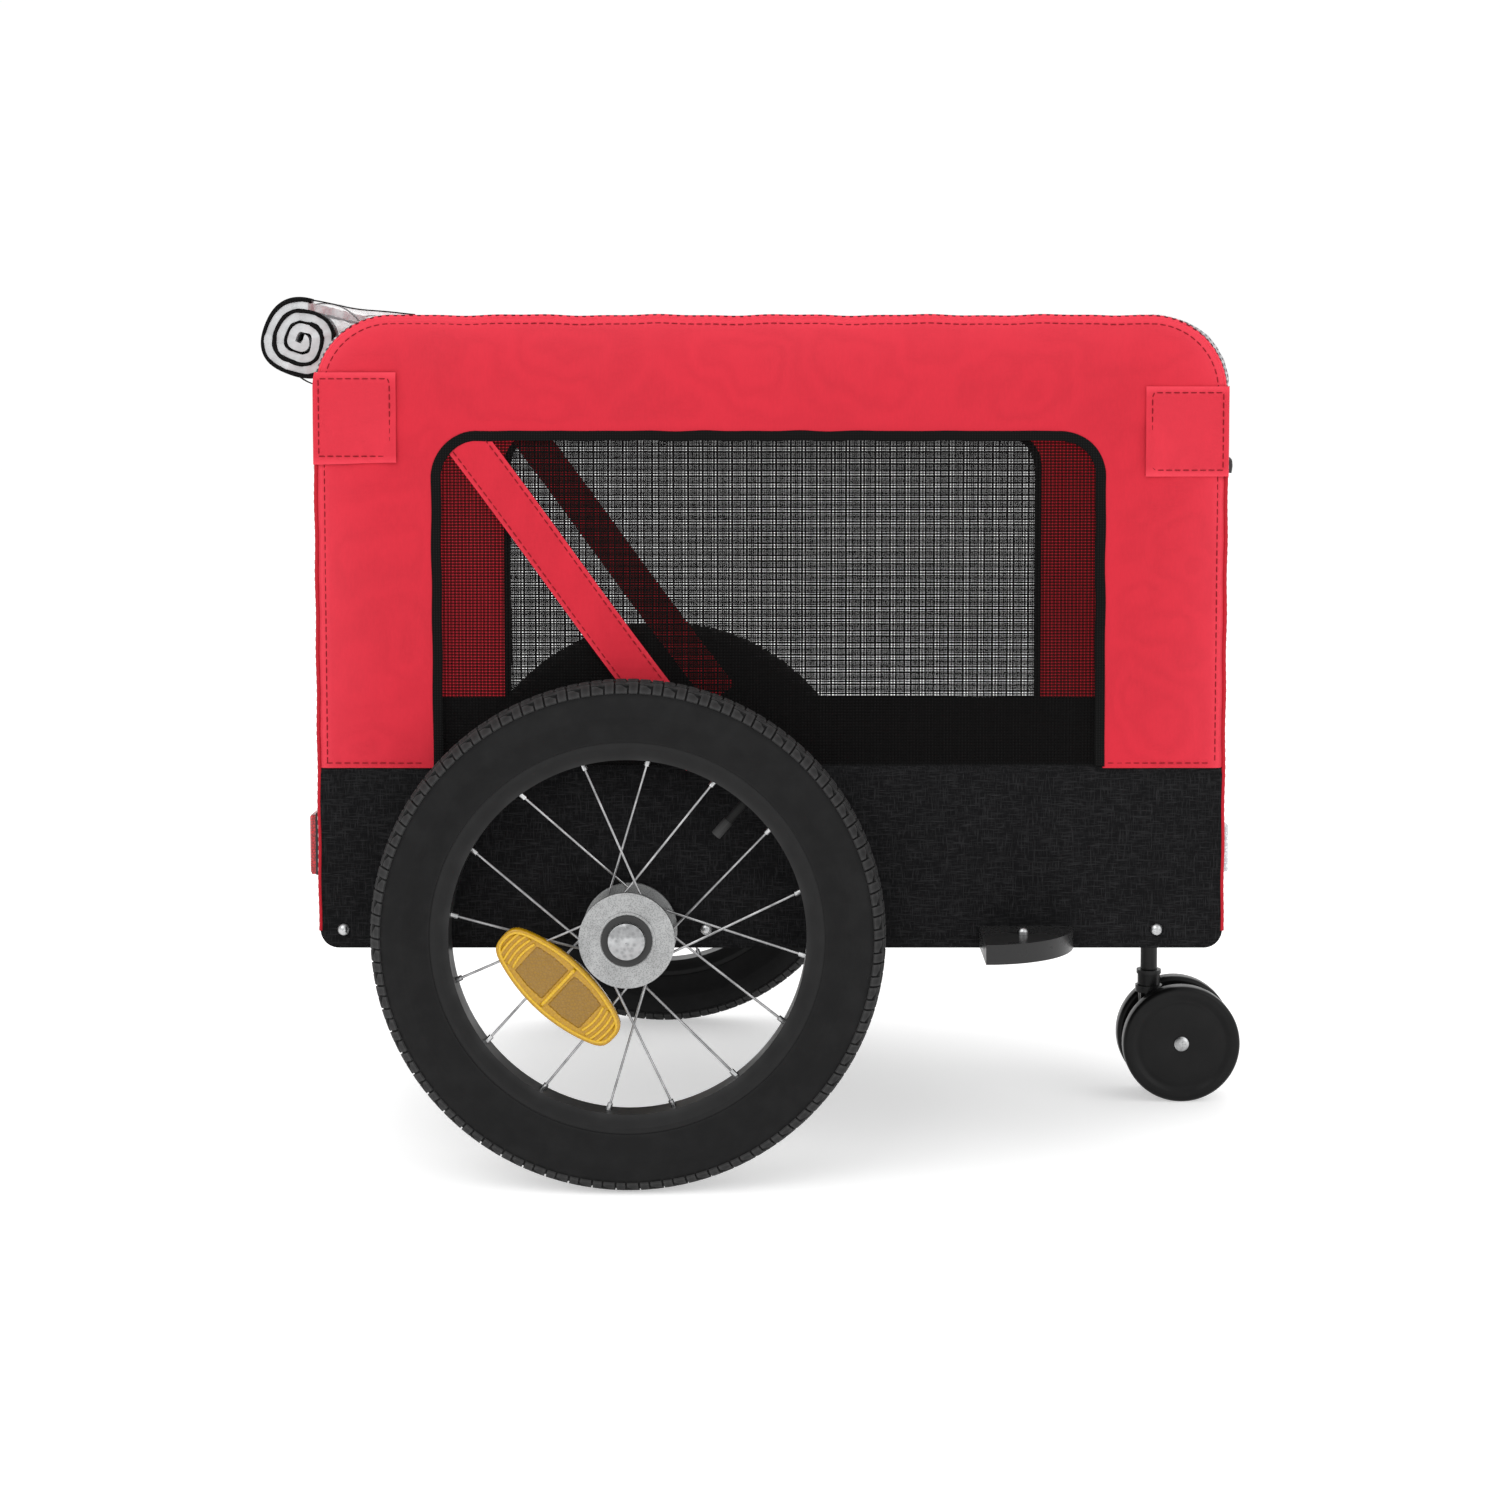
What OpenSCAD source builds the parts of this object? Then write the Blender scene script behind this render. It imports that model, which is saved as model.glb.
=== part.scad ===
// Bicycle trailer for a pet or light load: a fabric cabin on a bolted steel frame,
// two spoked 16 inch wheels on press-button axles, and a twin-wheel swivel castor.
// Millimetres. +X is the way it travels, +Z is up, Z = 0 is the ground,
// and X = Y = 0 is the middle of the cabin. Pieces that come in pairs are drawn
// for the left side (+Y) and mirrored for the right.

/* [Cabin] */
// Length of the fabric cabin
body_l = 720; // [700:2:740]
// Width of the fabric cabin
body_w = 500; // [490:2:510]
// Height of the roof above the ground
body_top = 689; // [670:1:710]
// Height of the cabin's underside above the ground
body_bottom = 185; // [183:1:186]
// Radius of the cabin's upper corners
corner_r = 60; // [50:1:66]
// Radius of the cabin's lower corners
foot_r = 14; // [12:1:14]
// Thickness of the cloth
cloth_t = 2; // [1.5:0.1:2]
// Height of the seam between the upper and the lower side cloth
seam_z = 330; // [310:1:350]

/* [Side window] */
// Rear edge of the side window
window_rear_x = -268; // [-275:1:-255]
// Front edge of the side window
window_front_x = 264; // [255:1:275]
// Top edge of the side window
window_top_z = 597; // [580:1:605]
// Radius of the window's upper corners
window_r = 36; // [25:1:45]
// Width of the window's edge binding
binding_w = 8; // [5:1:12]
// Width of the diagonal strap across the window
strap_w = 33; // [25:1:40]

/* [Frame] */
// Outside diameter of the cabin hoops
hoop_d = 19; // [18:0.5:19]
// Width of the base tubes
base_w = 20; // [18:1:20]
// Height of the base tubes
base_h = 25; // [25:1:26]
// Wall thickness of all tubes
tube_wall = 1.5; // [1.2:0.1:1.8]
// Places of the cross tubes along the base
cross_xs = [-342, -52, 308];

/* [Wheels] */
// Outside radius of the inflated tyre
tyre_r = 202.5; // [200:0.5:205]
// Width of the inflated tyre
tyre_w = 47; // [45:1:48]
// Place of the axle along the cabin
axle_x = -112; // [-130:1:-100]
// Distance of a wheel's middle plane from the centre plane
wheel_y = 285.5; // [285:0.5:288]
// Number of spokes in a wheel
spoke_count = 16; // [12:4:20]
// Angle between a spoke's two ends
spoke_lace = 36; // [30:1:40]
// Direction of the first spoke's rim end
spoke_phase = 127.7; // [120:0.1:135]

/* [Castor] */
// Place of the castor's stem along the cabin
castor_x = 338; // [337:1:339]
// Distance of the castor's axle ahead of its stem
castor_trail = 26; // [24:1:28]
// Radius of the castor's wheels
castor_r = 52; // [50:1:53]
// Diameter of the castor's stem
stem_d = 15; // [14:0.5:15]

/* [Hitch lug] */
// Rear edge of the lug
lug_x = 166; // [150:1:180]
// Radius of the lug's quarter round
lug_r = 75; // [70:1:76]
// Diameter of the hitch pin
pin_d = 6; // [5:0.5:7]

/* [Rolled rear cover] */
// Diameter of the rolled cover
roll_d = 69; // [60:1:70]
// Place of the roll's middle along the cabin
roll_x = -375; // [-377:1:-373]
// Height of the roll's middle
roll_z = 670; // [666:1:674]

/* [Hidden] */
$fn = 64;

RED = "crimson";
BLACK = [0.11, 0.11, 0.11];
STEEL = "silver";
FILM = [0.8, 0.82, 0.84, 0.6];

eps = 0.5;            // overshoot of a cutter past the face it opens
slip = 0.05;          // radial gap of a running or sliding fit
body_x = body_l / 2;
body_y = body_w / 2;
inner_y = body_y - cloth_t;
foot_z = body_bottom + foot_r;         // top of the lower corner arc
shoulder_z = body_top - corner_r;      // foot of the upper corner arc

// base frame
base_y = inner_y - base_w / 2 - 0.5;   // middle of a side rail
base_z = body_bottom + cloth_t + 2;    // underside of the base tubes
base_top = base_z + base_h;
rail_x = body_x - 8;                   // end of a side rail
bolt_z = base_z + 11;
bolt_d = 6;
bolt_l = 45;
plug_l = 25;

// cabin hoops and their spreaders
hoop_r = hoop_d / 2;
hoop_x = rail_x - hoop_r + 1.5;        // middle of a hoop's leg
hoop_z = body_top - cloth_t - hoop_r - 0.5;
hoop_bend = corner_r - cloth_t - hoop_r;
stub_l = 36;
stub_r = hoop_r - tube_wall - 0.1;
spreader_x = 270;
spreader_r = 8;
clip_l = 26;
clip_wall = 3.5;

// wheel: distances named _t are measured from the centre plane, outwards
axle_z = tyre_r;
axle_r = 6;
receiver_r = 10;
receiver_in_t = 190;
receiver_out_t = body_y + 6;
hub_in_t = receiver_out_t + 0.5;
flange_r = 37.5;
flange_t = 3.5;
inner_flange_t = 259.5;
outer_flange_t = 303;
hub_face_t = outer_flange_t + flange_t;
bearing_r = 14;
bearing_w = 8;
bearing_out_t = hub_face_t - 1.5;      // outer face of the outer bearing
button_r = 14.3;
button_travel = 3;
rim_in_r = 140;
rim_out_r = 158.5;
rim_w = 30;
seat_r = 152.5;                        // bead seat of a 47-305 tyre
spoke_hub_r = 34;
spoke_rim_r = 149.5;
spoke_r = 1;
layer_gap = 3;                         // between the two lacing layers of one flange
nipple_l = 15;
valve_angle = 49;
casing_r = tyre_w / 2;
casing_c = tyre_r - casing_r;          // radius of the casing's centre circle
casing_t = 4;                          // thickness of the tyre
tyre_bead = 12.8;                      // half the width across the tyre's beads

// spoke reflector: an outline with rounded ends between two shallow arcs
reflector_x = axle_x - 54;
reflector_z = axle_z - 38;
reflector_turn = 43;
reflector_r = 59;
reflector_arc = 140;
reflector_w = 48;
reflector_in_t = 293;
reflector_out_t = 302;

// castor
castor_axle_x = castor_x + castor_trail;
disc_in_t = 13;
disc_out_t = 30;
disc_web_t = 18;                       // inner face of a castor wheel's web
disc_tread = 8;                        // depth of its running tread
castor_face_t = 27;
castor_bolt_r = 4;
castor_screw_r = 2.5;
screw_head_r = 6.5;
neck_low = 94;                         // the fork's collar round the stem
neck_top = 114;
neck_r = 10;
spigot_r = 4.5;
fork_t = 8;                            // half the thickness of the fork's arm

// hitch lug
lug_top = base_z + 14;
lug_h = 15.5;
lug_plate = 3.5;
pin_free = 10;        // free end of the hitch pin, below the plate
pin_step = 0.4;       // how much wider the pin's shoulder is
lug_rim = 3;
pin_x = lug_x + 32;
pin_t = body_y + 34;

// doorway of an end cloth, and the clear cover over the front one
door_y = 200;
door_low = 238;
door_high = 587;
door_r = 30;
flap_lap = 6;
film_t = 0.8;
film_gap = 0.2;
film_seam_x = body_x - corner_r - 10;

// zipper slider, beside the front cover, on the right
slider_y = 212;
slider_z = 573;

// corner tabs
tab_t = 1.2;
front_tab_x = 296;
front_tab_low = 562;
rear_tab_x = -304;
rear_tab_low = 573;
tab_h = 71;

// reflectors on the cabin's ends
lamp_y = 227;
rear_lamp_z = 268;
front_lamp_z = 265;
lamp_r = 3;

// ties of the rolled cover
tie_ys = [-120, 120];
tie_r = 0.8;
tie_foot_z = 627;
roll_inset = 25;                       // from the cabin's side to the roll's end

// ---------- placing ----------

// draws its children as they are for the left side, mirrored for the right
module on_side(left) {
    if (left) children();
    else mirror([0, 1, 0]) children();
}

module both_sides() {
    on_side(true) children();
    on_side(false) children();
}

// a flat outline given as [x, z], standing between the planes Y = t0 and Y = t1
module wall_xz(t0, t1) {
    translate([0, t1, 0]) rotate([90, 0, 0]) linear_extrude(t1 - t0) children();
}

// a flat outline given as [y, z], standing between the planes X = x0 and X = x1
module wall_yz(x0, x1) {
    translate([x0, 0, 0]) rotate([90, 0, 90]) linear_extrude(x1 - x0) children();
}

// a profile given as [radius, y], turned about the Y axis
module turn_y() {
    rotate([-90, 0, 0]) rotate_extrude($fn = 128) children();
}

module rod_y(t0, t1, r) {
    translate([0, t0, 0]) rotate([-90, 0, 0]) cylinder(h = t1 - t0, r = r);
}

module rod_z(z0, z1, r) {
    translate([0, 0, z0]) cylinder(h = z1 - z0, r = r);
}

module block(x0, x1, y0, y1, z0, z1) {
    translate([x0, y0, z0]) cube([x1 - x0, y1 - y0, z1 - z0]);
}

// a round rod on the way from p to q, between the distances d0 and d1 from p
module rod_between(p, q, d0, d1, r) {
    v = q - p;
    translate(p)
        rotate([0, acos(v.z / norm(v)), atan2(v.y, v.x)])
            translate([0, 0, d0]) cylinder(h = d1 - d0, r = r);
}

// a low round head on the XY plane
module dome(r, h) {
    ball = (r * r + h * h) / (2 * h);
    rotate_extrude() intersection() {
        translate([0, h - ball]) circle(ball);
        square([r, h]);
    }
}

// ---------- outlines ----------

// a rectangle with one radius for its upper corners and one for its lower
module round_rect(x0, x1, z0, z1, r_top, r_low) {
    translate([x0, z0 + r_low]) square([x1 - x0, z1 - z0 - r_low - r_top]);
    translate([x0 + r_top, z0 + r_low]) square([x1 - x0 - 2 * r_top, z1 - z0 - r_low]);
    translate([x0 + r_low, z0]) square([x1 - x0 - 2 * r_low, z1 - z0 - r_top]);
    for (x = [x0 + r_top, x1 - r_top]) translate([x, z1 - r_top]) circle(r_top, $fn = 96);
    for (x = [x0 + r_low, x1 - r_low]) translate([x, z0 + r_low]) circle(r_low, $fn = 96);
}

// the cabin seen from its side, moved in by a distance
module cabin_outline(inset) {
    round_rect(-body_x + inset, body_x - inset, body_bottom + inset, body_top - inset,
               corner_r - inset, foot_r - inset);
}

// the side window seen from its side, moved in by a distance at its top and ends
module window_outline(inset) {
    intersection() {
        round_rect(window_rear_x + inset, window_front_x - inset, seam_z - 100,
                   window_top_z - inset, window_r - inset, 1);
        translate([-body_x, seam_z]) square([body_l, body_top - seam_z]);
    }
}

// the shell of cloth between two heights, seen from the side
module cloth_band(z0, z1) {
    difference() {
        intersection() {
            cabin_outline(0);
            translate([-body_x, z0]) square([body_l, z1 - z0]);
        }
        cabin_outline(cloth_t);
    }
}

// ---------- base frame ----------

module base_rail(left) {
    color(BLACK) on_side(left) {
        difference() {
            block(-rail_x, rail_x, base_y - base_w / 2, base_y + base_w / 2, base_z, base_top);
            block(-rail_x - eps, rail_x + eps, base_y - base_w / 2 + tube_wall,
                  base_y + base_w / 2 - tube_wall, base_z + tube_wall, base_top - tube_wall);
            for (x = cross_xs) translate([x, 0, bolt_z])
                rod_y(base_y - base_w, base_y + base_w, bolt_d / 2 + 0.2);
            translate([axle_x, 0, axle_z])
                rod_y(base_y - base_w, base_y + base_w, receiver_r + slip);
        }
        for (x = [-hoop_x, hoop_x]) translate([x, base_y, 0])
            rod_z(base_top - tube_wall / 2, base_top + stub_l, stub_r);
    }
}

module cross_tubes() {
    half = base_y - base_w / 2;
    color(BLACK) for (x = cross_xs) difference() {
        block(x - base_w / 2, x + base_w / 2, -half, half, base_z, base_top);
        block(x - base_w / 2 + tube_wall, x + base_w / 2 - tube_wall, -half + plug_l,
              half - plug_l, base_z + tube_wall, base_top - tube_wall);
        for (y = [-half - eps, half - plug_l - eps]) translate([x, 0, bolt_z])
            rod_y(y, y + plug_l + 2 * eps, bolt_d / 2 + slip);
    }
}

module frame_bolts() {
    color(STEEL) both_sides() for (x = cross_xs) translate([x, body_y, bolt_z]) {
        rod_y(-bolt_l, 0.2, bolt_d / 2);
        rotate([-90, 0, 0]) dome(5, 3.4);
    }
}

module axle_receivers() {
    color(BLACK) both_sides() translate([axle_x, 0, axle_z]) difference() {
        rod_y(receiver_in_t, receiver_out_t, receiver_r);
        rod_y(receiver_in_t - eps, receiver_out_t + eps, axle_r + slip);
    }
}

module castor_bracket() {
    face_x = cross_xs[2] + base_w / 2;
    color(BLACK) difference() {
        union() {
            block(face_x, castor_x - 4, -22, 22, base_z + 1, base_top - 1);
            translate([castor_x, 0, 0]) rod_z(base_z, base_top, stem_d / 2 + 3);
        }
        translate([castor_x, 0, 0]) rod_z(base_z - eps, base_top + eps, stem_d / 2 + slip);
    }
}

module floor_board() {
    color(BLACK) block(-body_x + 30, body_x - 34, -base_y + base_w / 2 + 1.5,
                       base_y - base_w / 2 - 1.5, base_top, base_top + 4);
}

// ---------- hitch lug ----------

module quarter_round(inset) {
    intersection() {
        translate([lug_x, body_y]) circle(lug_r - inset, $fn = 128);
        translate([lug_x + inset, inner_y - 1]) square([lug_r, lug_r + 10]);
    }
}

module hitch_lug() {
    root_t = inner_y - 0.5;
    color(BLACK) on_side(false) difference() {
        union() {
            translate([0, 0, lug_top - lug_plate]) linear_extrude(lug_plate) quarter_round(0);
            translate([0, 0, lug_top - lug_h]) linear_extrude(lug_h) difference() {
                quarter_round(0);
                quarter_round(lug_rim);
            }
            block(lug_x, lug_x + lug_r, root_t, body_y + lug_rim, lug_top - lug_h, lug_top);
        }
        block(lug_x - eps, lug_x + lug_r + eps, root_t - 20, root_t,
              lug_top - lug_h - eps, lug_top + eps);
        translate([pin_x, pin_t, 0])
            rod_z(lug_top - lug_plate - eps, lug_top + eps, pin_d / 2 + pin_step + slip);
    }
}

module hitch_pin() {
    color(STEEL) on_side(false) translate([pin_x, pin_t, 0]) {
        // the free end that takes the tow bar's eye, then the shoulder that stays in the plate
        rod_z(lug_top - lug_plate - pin_free, lug_top - lug_plate + eps, pin_d / 2);
        rod_z(lug_top - lug_plate, lug_top + 0.2, pin_d / 2 + pin_step);
        translate([0, 0, lug_top + 0.1]) rod_z(0, 2.5, 4.25);
        translate([0, 0, lug_top + 2.6]) dome(4.25, 3.4);
    }
}

// ---------- cabin hoops ----------

// half of a hoop: a leg, the bend and half of the top run
module hoop_half(r, open) {
    translate([hoop_x, 0, base_top - open])
        cylinder(h = hoop_z - hoop_bend - base_top + open, r = r);
    translate([hoop_x - hoop_bend, 0, hoop_z - hoop_bend]) rotate([90, 0, 0])
        rotate_extrude(angle = 90, $fn = 96) translate([hoop_bend, 0]) circle(r);
    translate([-eps, 0, hoop_z]) rotate([0, 90, 0])
        cylinder(h = hoop_x - hoop_bend + eps, r = r);
}

module hoop_solid(r, open) {
    hoop_half(r, open);
    mirror([1, 0, 0]) hoop_half(r, open);
}

module hoop(left) {
    color(STEEL) on_side(left) translate([0, base_y, 0]) difference() {
        hoop_solid(hoop_r, 0);
        hoop_solid(hoop_r - tube_wall, eps);
    }
}

module spreader_bars() {
    half = base_y - hoop_r - 6;
    color(STEEL) for (x = [-spreader_x, spreader_x]) translate([x, 0, hoop_z]) difference() {
        rod_y(-half, half, spreader_r);
        rod_y(-half - eps, half + eps, spreader_r - tube_wall);
    }
}

// snap-on clip: a cradle round the inner half of the hoop, with a peg for the spreader
module spreader_clips() {
    ring = hoop_r + clip_wall;
    color(BLACK) both_sides() for (x = [-spreader_x, spreader_x]) translate([x, 0, hoop_z]) {
        difference() {
            union() {
                translate([-clip_l / 2, base_y, 0]) rotate([0, 90, 0]) cylinder(h = clip_l, r = ring);
                rod_y(base_y - hoop_r - 6, base_y, spreader_r + 1);
                rod_y(base_y - hoop_r - 24, base_y, spreader_r - tube_wall - slip);
            }
            translate([-clip_l, base_y, 0]) rotate([0, 90, 0])
                cylinder(h = 2 * clip_l, r = hoop_r + slip);
            block(-clip_l, clip_l, base_y + 4, base_y + ring + eps, -ring - eps, ring + eps);
            block(-clip_l, clip_l, base_y - 2, base_y + ring + eps, 0, ring + eps);
            block(-clip_l, clip_l, base_y - ring - 20, base_y + ring, hoop_r, ring + eps);
        }
    }
}

// ---------- wheels ----------

module wheel_axles() {
    color(STEEL) both_sides() translate([axle_x, 0, axle_z]) difference() {
        union() {
            rod_y(receiver_in_t - 4, bearing_out_t + 0.2, axle_r);
            rod_y(bearing_out_t + 0.1, bearing_out_t + 1.6, button_r - 0.8);
        }
        rod_y(bearing_out_t - 24, bearing_out_t + 2, 3 + slip);
    }
}

module release_button(left) {
    under_t = bearing_out_t + 1.6 + button_travel + 0.2;
    color(STEEL) on_side(left) translate([axle_x, 0, axle_z]) {
        rod_y(under_t - 17, under_t + 0.2, 3);
        difference() {
            rod_y(under_t - 1.6, under_t + 1.4, button_r);
            rod_y(under_t - 2, under_t, button_r - 0.6);
        }
        translate([0, under_t + 1.3, 0]) rotate([-90, 0, 0]) dome(button_r, 2.6);
    }
}

module tyre(left) {
    color(BLACK) on_side(left) translate([axle_x, wheel_y, axle_z]) turn_y() difference() {
        union() {
            translate([casing_c, 0]) circle(casing_r);
            polygon([[seat_r, -tyre_bead], [rim_out_r, -tyre_bead], [170, -21], [170, 21],
                     [rim_out_r, tyre_bead], [seat_r, tyre_bead]]);
        }
        translate([casing_c, 0]) circle(casing_r - casing_t);
        translate([seat_r - 5, -8.5]) square([14, 17]);
    }
}

module inner_tube(left) {
    color("dimgray") on_side(left) translate([axle_x, wheel_y, axle_z])
        turn_y() translate([casing_c, 0]) difference() {
            circle(casing_r - casing_t - 0.5);
            circle(casing_r - casing_t - 2);
        }
}

// where spoke i leaves its flange and where it ends in the rim, from the wheel's centre
function spoke_outer(i) = i % 2 == 1;
function spoke_turn(i) = (i % 4 < 2 ? -1 : 1) * spoke_lace;
function spoke_angle(i) = spoke_phase - i * 360 / spoke_count;
function layer_t(i) = 1.7 + spoke_r + (i % 4 < 2 ? 0 : layer_gap);
function spoke_hub_t(i) = spoke_outer(i)
    ? outer_flange_t - layer_t(i) - wheel_y
    : inner_flange_t + flange_t + layer_t(i) - wheel_y;
function spoke_hub(i) = let (a = spoke_angle(i) + spoke_turn(i))
    [spoke_hub_r * cos(a), spoke_hub_t(i), spoke_hub_r * sin(a)];
function spoke_rim(i) = let (a = spoke_angle(i))
    [spoke_rim_r * cos(a), 0, spoke_rim_r * sin(a)];
function spoke_length(i) = norm(spoke_rim(i) - spoke_hub(i));
function elbow_t(i) = spoke_outer(i)
    ? outer_flange_t + 2.3 - wheel_y
    : inner_flange_t + flange_t - 2.3 - wheel_y;

// the bent end of spoke i, from a little before the bend to past the flange by a distance
module elbow(i, r, longer) {
    p = spoke_hub(i);
    q = [p.x, elbow_t(i), p.z];
    rod_between(p, q, -0.8 * spoke_r, norm(q - p) + longer, r);
}

module rim(left) {
    color(BLACK) on_side(left) translate([axle_x, wheel_y, axle_z]) difference() {
        turn_y() polygon([
            [rim_in_r, -11], [rim_in_r, 11], [150, rim_w / 2], [rim_out_r, rim_w / 2],
            [rim_out_r, 13], [seat_r - 0.1, 13], [seat_r - 0.1, 8], [146, 6], [146, -6],
            [seat_r - 0.1, -8], [seat_r - 0.1, -13], [rim_out_r, -13],
            [rim_out_r, -rim_w / 2], [150, -rim_w / 2]
        ]);
        for (i = [0:spoke_count - 1])
            rod_between(spoke_hub(i), spoke_rim(i), spoke_length(i) - 20, spoke_length(i) + 2, 2.4);
        rotate([0, -valve_angle, 0]) translate([rim_in_r - 5, 0, 0]) rotate([0, 90, 0])
            cylinder(h = 20, r = 4.3);
    }
}

module spokes(left) {
    color(STEEL) on_side(left) translate([axle_x, wheel_y, axle_z])
        for (i = [0:spoke_count - 1]) {
            rod_between(spoke_hub(i), spoke_rim(i), -0.5 * spoke_r, spoke_length(i) - 1, spoke_r);
            elbow(i, spoke_r, 0);
        }
}

module nipples(left) {
    color(STEEL) on_side(left) translate([axle_x, wheel_y, axle_z])
        for (i = [0:spoke_count - 1]) difference() {
            union() {
                rod_between(spoke_hub(i), spoke_rim(i), spoke_length(i) - nipple_l,
                            spoke_length(i), 2.2);
                rod_between(spoke_hub(i), spoke_rim(i), spoke_length(i) - 2.2, spoke_length(i), 3);
            }
            rod_between(spoke_hub(i), spoke_rim(i), spoke_length(i) - nipple_l - 1,
                        spoke_length(i) - 0.8, spoke_r + slip);
        }
}

module hub(left) {
    color(STEEL) on_side(left) translate([axle_x, 0, axle_z]) difference() {
        turn_y() union() {
            translate([0, hub_in_t]) square([20, inner_flange_t - hub_in_t]);
            translate([0, inner_flange_t]) square([flange_r, flange_t]);
            translate([0, inner_flange_t + flange_t])
                square([17, outer_flange_t - inner_flange_t - flange_t]);
            translate([0, outer_flange_t]) square([flange_r, flange_t]);
            translate([20.6, hub_face_t]) square([1.8, 0.8]);
        }
        rod_y(hub_in_t - eps, hub_face_t + eps, 8);
        rod_y(hub_in_t - eps, hub_in_t + bearing_w + 0.5, bearing_r);
        rod_y(bearing_out_t - bearing_w, hub_face_t + eps, bearing_r);
        rod_y(bearing_out_t, hub_face_t + eps, 20);
        for (i = [0:spoke_count - 1]) translate([0, wheel_y, 0]) elbow(i, spoke_r + 0.1, 0.1);
    }
}

module bearings(left) {
    color("gray") on_side(left) translate([axle_x, 0, axle_z])
        for (t = [hub_in_t + 0.5, bearing_out_t - bearing_w]) difference() {
            rod_y(t, t + bearing_w, bearing_r - 0.02);
            rod_y(t - eps, t + bearing_w + eps, axle_r + slip);
        }
}

module dust_cap(left) {
    color(BLACK) on_side(left) translate([axle_x, 0, axle_z]) difference() {
        rod_y(bearing_out_t + 0.1, hub_face_t + 1.8, 19.9);
        rod_y(bearing_out_t - eps, hub_face_t + 2 + eps, button_r + 0.6);
    }
}

module valve(left) {
    color(BLACK) on_side(left) translate([axle_x, wheel_y, axle_z])
        rotate([0, -valve_angle, 0]) rotate([0, 90, 0]) {
            rod_z(rim_in_r - 24, casing_c - casing_r + casing_t + 0.4, 3.6);
            rod_z(rim_in_r - 35, rim_in_r - 20, 4.2);
        }
}

module spoke_reflector(left) {
    arc_z = reflector_arc - reflector_w / 2;
    color("goldenrod") on_side(left)
        translate([reflector_x, 0, reflector_z]) rotate([0, reflector_turn, 0])
            wall_xz(reflector_in_t, reflector_out_t) intersection() {
                circle(reflector_r, $fn = 96);
                translate([0, -arc_z]) circle(reflector_arc, $fn = 128);
                translate([0, arc_z]) circle(reflector_arc, $fn = 128);
            }
}

// ---------- castor ----------

module castor_stem() {
    color(BLACK) translate([castor_x, 0, 0]) {
        rod_z(neck_top + 0.4, base_top - 1, stem_d / 2);
        rod_z(86, neck_top + 0.5, spigot_r);
    }
}

module castor_fork() {
    color(BLACK) difference() {
        union() {
            translate([castor_x, 0, 0]) {
                rod_z(70, neck_low + 1, 9);
                rod_z(neck_low, neck_low + 6, neck_r + 2);
                rod_z(neck_low + 5, neck_top, neck_r);
                rod_z(neck_top - 3.5, neck_top, neck_r + 1);
            }
            wall_xz(-fork_t, fork_t) {
                polygon([[castor_x - 8, neck_low], [castor_x + 10, neck_low],
                         [castor_axle_x + 12, castor_r + 8],
                         [castor_axle_x - 12, castor_r - 8], [castor_x - 8, neck_low - 20]]);
                translate([castor_axle_x, castor_r]) circle(14);
            }
            translate([castor_axle_x, 0, castor_r]) rod_y(-disc_in_t + 0.5, disc_in_t - 0.5, 9);
        }
        translate([castor_x, 0, 0]) rod_z(84, neck_top + 6, spigot_r + slip);
        translate([castor_axle_x, 0, castor_r]) rod_y(-20, 20, castor_bolt_r + slip);
    }
}

// a crossed slot in a screw head that faces outwards on the left side
module cross_slot() {
    for (a = [0, 90]) rotate([0, a, 0])
        block(-3.2, 3.2, castor_face_t + 1, castor_face_t + 3, -0.5, 0.5);
}

module screw_head() {
    difference() {
        translate([0, castor_face_t + 0.1, 0]) rotate([-90, 0, 0]) dome(screw_head_r, 2.2);
        cross_slot();
    }
}

// a barrel with a head on the right, and the screw that closes it on the left
module castor_axle_bolt() {
    color(STEEL) translate([castor_axle_x, 0, castor_r]) {
        difference() {
            rod_y(-castor_face_t - 0.3, castor_face_t - 0.1, castor_bolt_r);
            rod_y(10, castor_face_t + eps, castor_screw_r + slip);
        }
        on_side(false) screw_head();
        rod_y(11, castor_face_t + 0.3, castor_screw_r);
        screw_head();
    }
}

module castor_wheel(left) {
    color(BLACK) on_side(left) translate([castor_axle_x, 0, castor_r]) turn_y() difference() {
        union() {
            translate([castor_bolt_r + slip, disc_in_t]) square([7, castor_face_t - disc_in_t]);
            translate([castor_bolt_r + slip, disc_web_t])
                square([castor_r - disc_tread - 2 - castor_bolt_r, castor_face_t - disc_web_t]);
            translate([castor_r - 1.5 * disc_tread, disc_in_t])
                square([disc_tread, disc_out_t - disc_in_t]);
            translate([castor_r - disc_tread / 2, disc_in_t + disc_tread / 2])
                square([disc_tread / 2, disc_out_t - disc_in_t - disc_tread]);
            for (t = [disc_in_t + disc_tread / 2, disc_out_t - disc_tread / 2])
                translate([castor_r - disc_tread / 2, t]) circle(disc_tread / 2);
        }
        translate([33, castor_face_t - 0.8]) square([3, 2]);
    }
}

// ---------- cabin cloth ----------

module roof_panel() {
    color(RED) wall_xz(-inner_y, inner_y) cloth_band(shoulder_z, body_top);
}

module belly_panel() {
    color(BLACK) difference() {
        wall_xz(-inner_y, inner_y) cloth_band(body_bottom, foot_z);
        translate([castor_x, 0, 0]) rod_z(body_bottom - eps, body_bottom + 5, stem_d / 2 + 1);
    }
}

module side_panel(left) {
    color(RED) on_side(left) wall_xz(inner_y, body_y) difference() {
        intersection() {
            cabin_outline(0);
            translate([-body_x, seam_z]) square([body_l, body_top - seam_z]);
        }
        window_outline(0);
        translate([window_rear_x, seam_z - 1]) square([window_front_x - window_rear_x, 2]);
    }
}

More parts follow.
